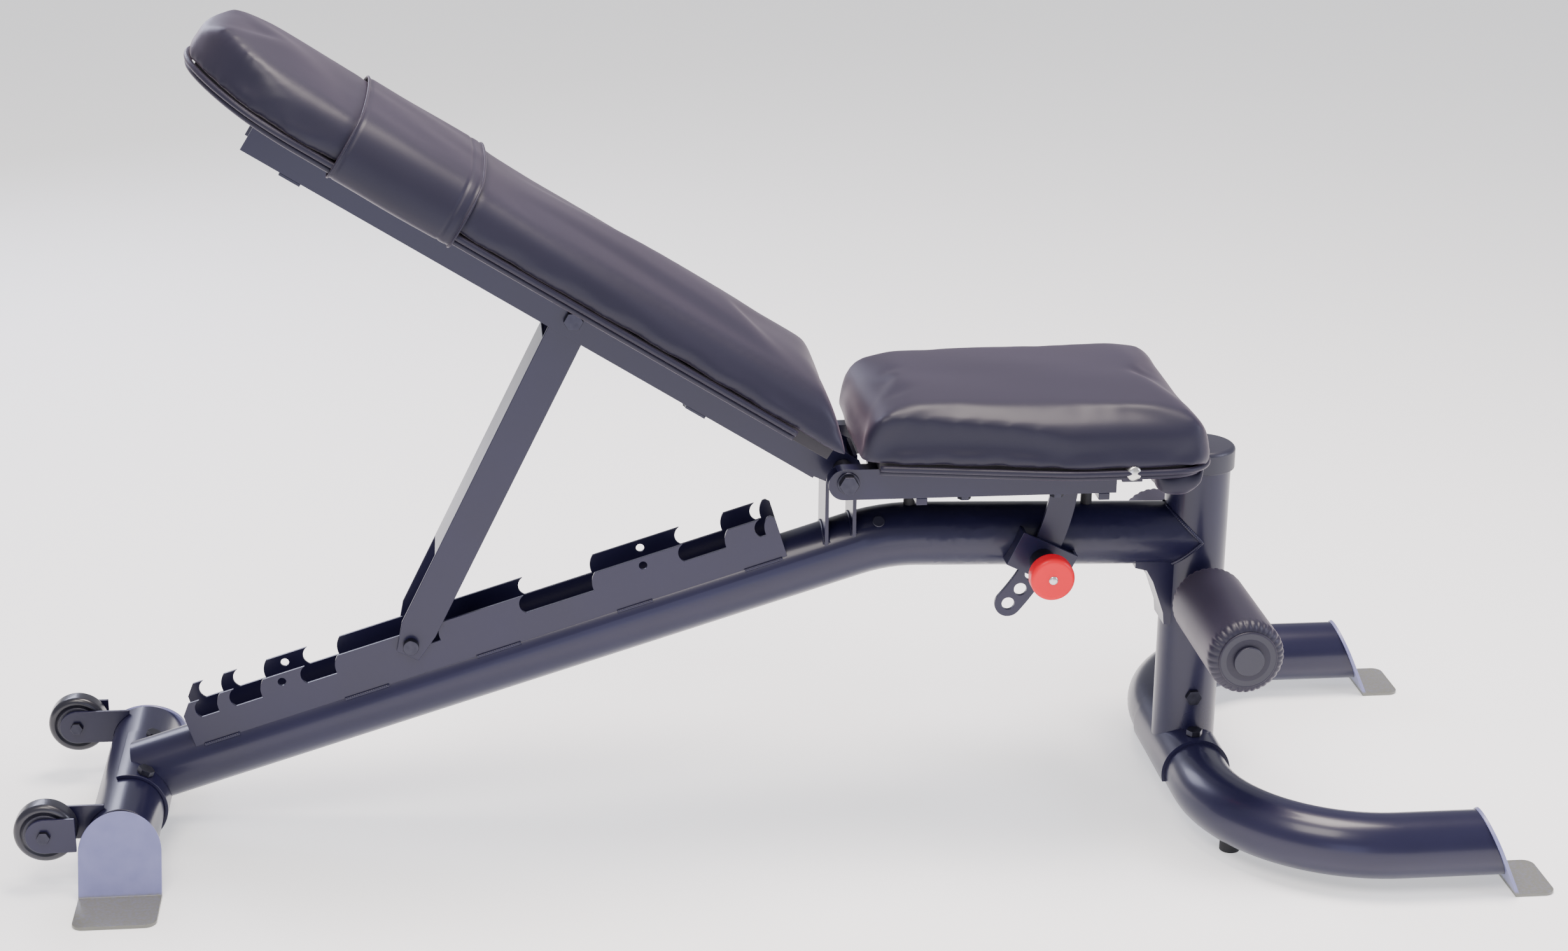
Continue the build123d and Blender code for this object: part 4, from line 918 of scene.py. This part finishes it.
@dataclass
class Metalwork:
    """Finish of every CAD part that stays visible, and the welds that join the frame."""

    edge: float = 0.8 * MM
    bevel_from: float = math.radians(38)
    post_weld_z: float = 308.6 * MM

    def build(self) -> None:
        """Gives each shown CAD node its material and worked edges, then lays the weld beads."""
        slots = {s["node"]: s["material_slot"] for s in frame["record"]["subparts"]}
        for node, obj in frame["nodes"].items():
            look = Look(slots[node])
            obj.data.materials.clear()
            obj.data.materials.append(BOOK.get(FINISHES[look]))
            obj.data.polygons.foreach_set("use_smooth", np.ones(len(obj.data.polygons), bool))
            low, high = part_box(node)
            thin = min(high - low)
            weld = obj.modifiers.new("join", "WELD")
            weld.merge_threshold = 0.00002
            flats = obj.modifiers.new("flats", "DECIMATE")
            flats.decimate_type = "DISSOLVE"
            flats.angle_limit = math.radians(0.6)
            bevel = obj.modifiers.new("edges", "BEVEL")
            bevel.width = min(self.edge, thin * 0.12)
            bevel.segments = 2
            bevel.limit_method = "ANGLE"
            bevel.angle_limit = self.bevel_from
            even = obj.modifiers.new("shade", "WEIGHTED_NORMAL")
            even.weight = 80
        self.welds()

    @staticmethod
    def weld_bead(name: str, path: np.ndarray, body: str, r: float = 2.0 * MM) -> None:
        """Ripple-surfaced weld bead along a path: the bar's radius swells by a sine every 2.4 mm.

        Args:
            name: object name.
            path: N x 3 points.
            body: CAD body it moves with.
            r: mean radius.
        """
        path = resample(path, 0.8 * MM)
        along = np.arange(len(path)) * 0.8 * MM
        radius = r * (1 + 0.12 * np.sin(along * 2 * math.pi / (2.4 * MM)))
        dress(tube(name, path, radius, 8, flat=np.array([0.13, 0.31, 0.94])), Look.PAINT, body)

    def welds(self) -> None:
        """Welds round the spine's ends, the uprights' feet and the ladder's lower edges."""
        slope = SPINE_SLOPE
        u = np.array([math.cos(slope), 0, math.sin(slope)])
        n = np.array([-math.sin(slope), 0, math.cos(slope)])
        origin = np.array([0, 0, SPINE_ZERO])
        for side in (-1, 1):
            y = side * 28.9 * MM
            v = math.sqrt(TUBE_R ** 2 - y ** 2)
            for k, (a, b) in enumerate(((-640, -600), (-480, -430), (-330, -280), (-170, -130), (-25, 18))):
                ends = np.array([origin + a * MM * u + v * n, origin + b * MM * u + v * n])
                ends[:, 1] = y
                self.weld_bead(f"ladder_weld_{'near' if side < 0 else 'far'}_{k}", ends, "frame")
        for name, x in (("rear", 59), ("front", 89)):
            ang = np.linspace(-0.95, 0.95, 40)
            axis_z = SPINE_ZERO + math.tan(slope) * x * MM
            for k, dx in enumerate((-2.4, 2.4)):
                zz = axis_z + dx * MM * math.tan(slope) + TUBE_R * np.cos(ang) / math.cos(slope)
                arc = np.stack([np.full(40, (x + dx) * MM), TUBE_R * np.sin(ang), zz], 1)
                self.weld_bead(f"upright_weld_{name}_{k}", arc, "frame", 1.7 * MM)
        ang = np.linspace(math.radians(100), math.radians(440), 120)
        ring_y = TUBE_R * np.cos(ang)
        ring_x = POST_X - np.sqrt(np.maximum(TUBE_R ** 2 - ring_y ** 2, 0)) - 0.5 * MM
        ring = np.stack([ring_x, ring_y, self.post_weld_z + TUBE_R * np.sin(ang)], 1)
        self.weld_bead("post_weld", ring, "frame", 2.2 * MM)


@dataclass
class Screws:
    """Bright screw heads: one in the face of the red pull knob, one at each front end of the seat's rim."""

    stud_x: float = 366 * MM
    stud_y: float = 145.5 * MM
    stud_z: float = 430.5 * MM

    def build(self) -> None:
        """Turns every screw head."""
        low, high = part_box("knob")
        centre = Vector(((low[0] + high[0]) / 2, low[1], (low[2] + high[2]) / 2))
        self.head("knob_screw", centre, -1, 5 * MM, 1 * MM, "pull_knob")
        for side, sign in (("near", -1), ("far", 1)):
            centre = Vector((self.stud_x, sign * self.stud_y, self.stud_z))
            self.head(f"seat_stud_{side}", centre, sign, 8 * MM, 14 * MM, "seat")

    @staticmethod
    def head(name: str, centre: Vector, sign: int, radius: float, root: float, body: str) -> None:
        """Domed head: half an ellipse turned about Y, on a straight shank of the same radius.

        Args:
            name: object name.
            centre: middle of the head's seat.
            sign: side of the seat the dome stands on.
            radius: head radius.
            root: how far the shank goes in.
            body: CAD body it moves with.
        """
        t = np.linspace(0, 1, 10)
        dome = np.stack([sign * 0.42 * radius * np.sqrt(1 - 0.98 * t ** 2), radius * t + 0.01 * MM], 1)
        back = np.array([[-sign * root, radius], [-sign * root, 0.01 * MM]])
        dress(lathe(name, np.vstack([dome, back]), centre, 48), Look.STEEL, body, BRIGHT_ZINC)


@dataclass
class PlungerSpring:
    """Coil spring round the pull pin, made at one fixed length; the real one is pressed together when the knob is
    pulled.
    """

    wire: float = 0.9 * MM
    pitch: float = 4.2 * MM
    kept: float = 0.66

    def build(self) -> None:
        """Wire along a helix: the angle grows by a turn each pitch while y falls evenly."""
        low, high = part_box("plunger_spring")
        coil = (high[2] - low[2]) / 2 - self.wire
        length = high[1] - low[1] - 2 * self.wire
        along = np.linspace(0, length, 220)
        ang = 2 * math.pi * along / self.pitch
        path = np.stack([(low[0] + high[0]) / 2 + coil * np.cos(ang), high[1] - self.wire - along,
                         (low[2] + high[2]) / 2 + coil * np.sin(ang)], 1)
        spring = dress(tube("plunger_coil", path, self.wire, 10, flat=np.array([0, 1, 0])), Look.STEEL, "frame")
        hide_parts("plunger_spring")
        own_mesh(spring)


# ------------------------------------------------------------------ stage


@dataclass
class Studio:
    """White studio: floor, soft lights and a camera on the near side, a little above the pads."""

    eye: tuple[float, float, float] = (-0.3125, -2.8432, 1.3849)
    yaw: float = 0.1077
    pitch: float = 0.3358
    roll: float = -0.0082
    lens: float = 64.2
    shift: tuple[float, float] = (0.0119, 0.0010)
    lamps: list = field(default_factory=lambda: [
        ("key", (-0.9, -1.8, 3.0), 2.4, 80, "#fff6ee"),
        ("top", (0.3, 0.2, 3.0), 2.2, 140, "#fff2ea"),
        ("side", (2.6, -1.0, 1.3), 1.6, 32, "#e6e8ff"),
        ("low", (-0.2, -2.8, 0.45), 1.8, 8, "#d0d4ff"),
        ("back", (-1.6, 2.4, 1.6), 1.8, 40, "#e2e4ff"),
    ])

    def build(self) -> None:
        """Lays the floor, hangs the lamps and sets the camera."""
        floor = self._floor()
        for name, place, size, watts, colour in self.lamps:
            light = bpy.data.lights.new(name, "AREA")
            light.shape = "SQUARE"
            light.size = size * 0.6
            light.energy = watts
            light.color = linear(colour)[:3]
            obj = bpy.data.objects.new(name, light)
            bpy.context.scene.collection.objects.link(obj)
            obj.location = place
            aim = Vector((0, 0, 0.4)) - Vector(place)
            obj.rotation_euler = aim.to_track_quat("-Z", "Y").to_euler()
        world = bpy.data.worlds.new("studio_white")
        world.use_nodes = True
        back = world.node_tree.nodes["Background"]
        back.inputs["Color"].default_value = (0.94, 0.94, 1.0, 1)
        back.inputs["Strength"].default_value = 0.55
        bpy.context.scene.world = world
        self._camera()

    def _floor(self) -> bpy.types.Object:
        """Wide flat sheet of pale vinyl.

        Returns:
            The floor.
        """
        half = 40.0
        pts = np.array([[[-half, -half, 0], [half, -half, 0]], [[-half, half, 0], [half, half, 0]]])
        floor = grid_object("studio_floor", pts, False, False)
        mat = bpy.data.materials.new("pale_studio_vinyl_floor")
        mat.use_nodes = True
        nodes, links = mat.node_tree.nodes, mat.node_tree.links
        shader = next(n for n in nodes if n.type == "BSDF_PRINCIPLED")
        noise = nodes.new("ShaderNodeTexNoise")
        noise.inputs["Scale"].default_value = 1 / 0.6
        coords = nodes.new("ShaderNodeTexCoord")
        links.new(coords.outputs["Object"], noise.inputs["Vector"])
        mix = nodes.new("ShaderNodeMix")
        mix.data_type = "RGBA"
        mix.inputs["A"].default_value = linear("#fbfbfc")
        mix.inputs["B"].default_value = linear("#ffffff")
        links.new(noise.outputs["Fac"], mix.inputs["Factor"])
        links.new(mix.outputs["Result"], shader.inputs["Base Color"])
        shader.inputs["Roughness"].default_value = 0.75
        shader.inputs["Emission Color"].default_value = (1, 1, 1, 1)
        shader.inputs["Emission Strength"].default_value = 0.6
        floor.data.materials.append(mat)
        return floor

    def _camera(self) -> None:
        """Camera turned by yaw, pitch and roll from looking level along +Y."""
        cy, sy = math.cos(self.yaw), math.sin(self.yaw)
        cp, sp = math.cos(self.pitch), math.sin(self.pitch)
        forward = Vector((sy * cp, cy * cp, -sp))
        right = Vector((cy, -sy, 0))
        down = forward.cross(right)
        cr, sr = math.cos(self.roll), math.sin(self.roll)
        right2 = right * cr + down * sr
        down2 = -right * sr + down * cr
        turn = Matrix((right2, -down2, -forward)).transposed().to_4x4()
        data = bpy.data.cameras.new("bench_camera")
        data.sensor_width = 36
        data.lens = self.lens
        data.shift_x, data.shift_y = self.shift
        data.dof.use_dof = False
        cam = bpy.data.objects.new("bench_camera", data)
        bpy.context.scene.collection.objects.link(cam)
        cam.matrix_world = Matrix.Translation(self.eye) @ turn
        bpy.context.scene.camera = cam


def main() -> None:
    """Builds the looks and the stage."""
    np.random.seed(SEED)
    Metalwork().build()
    for part in (Backrest(), Seat(), Rollers(), Wheels(), Screws(), PlungerSpring()):
        part.build()
        LOG.info("%s done", type(part).__name__)
    Studio().build()


if __name__ == "__main__":
    main()
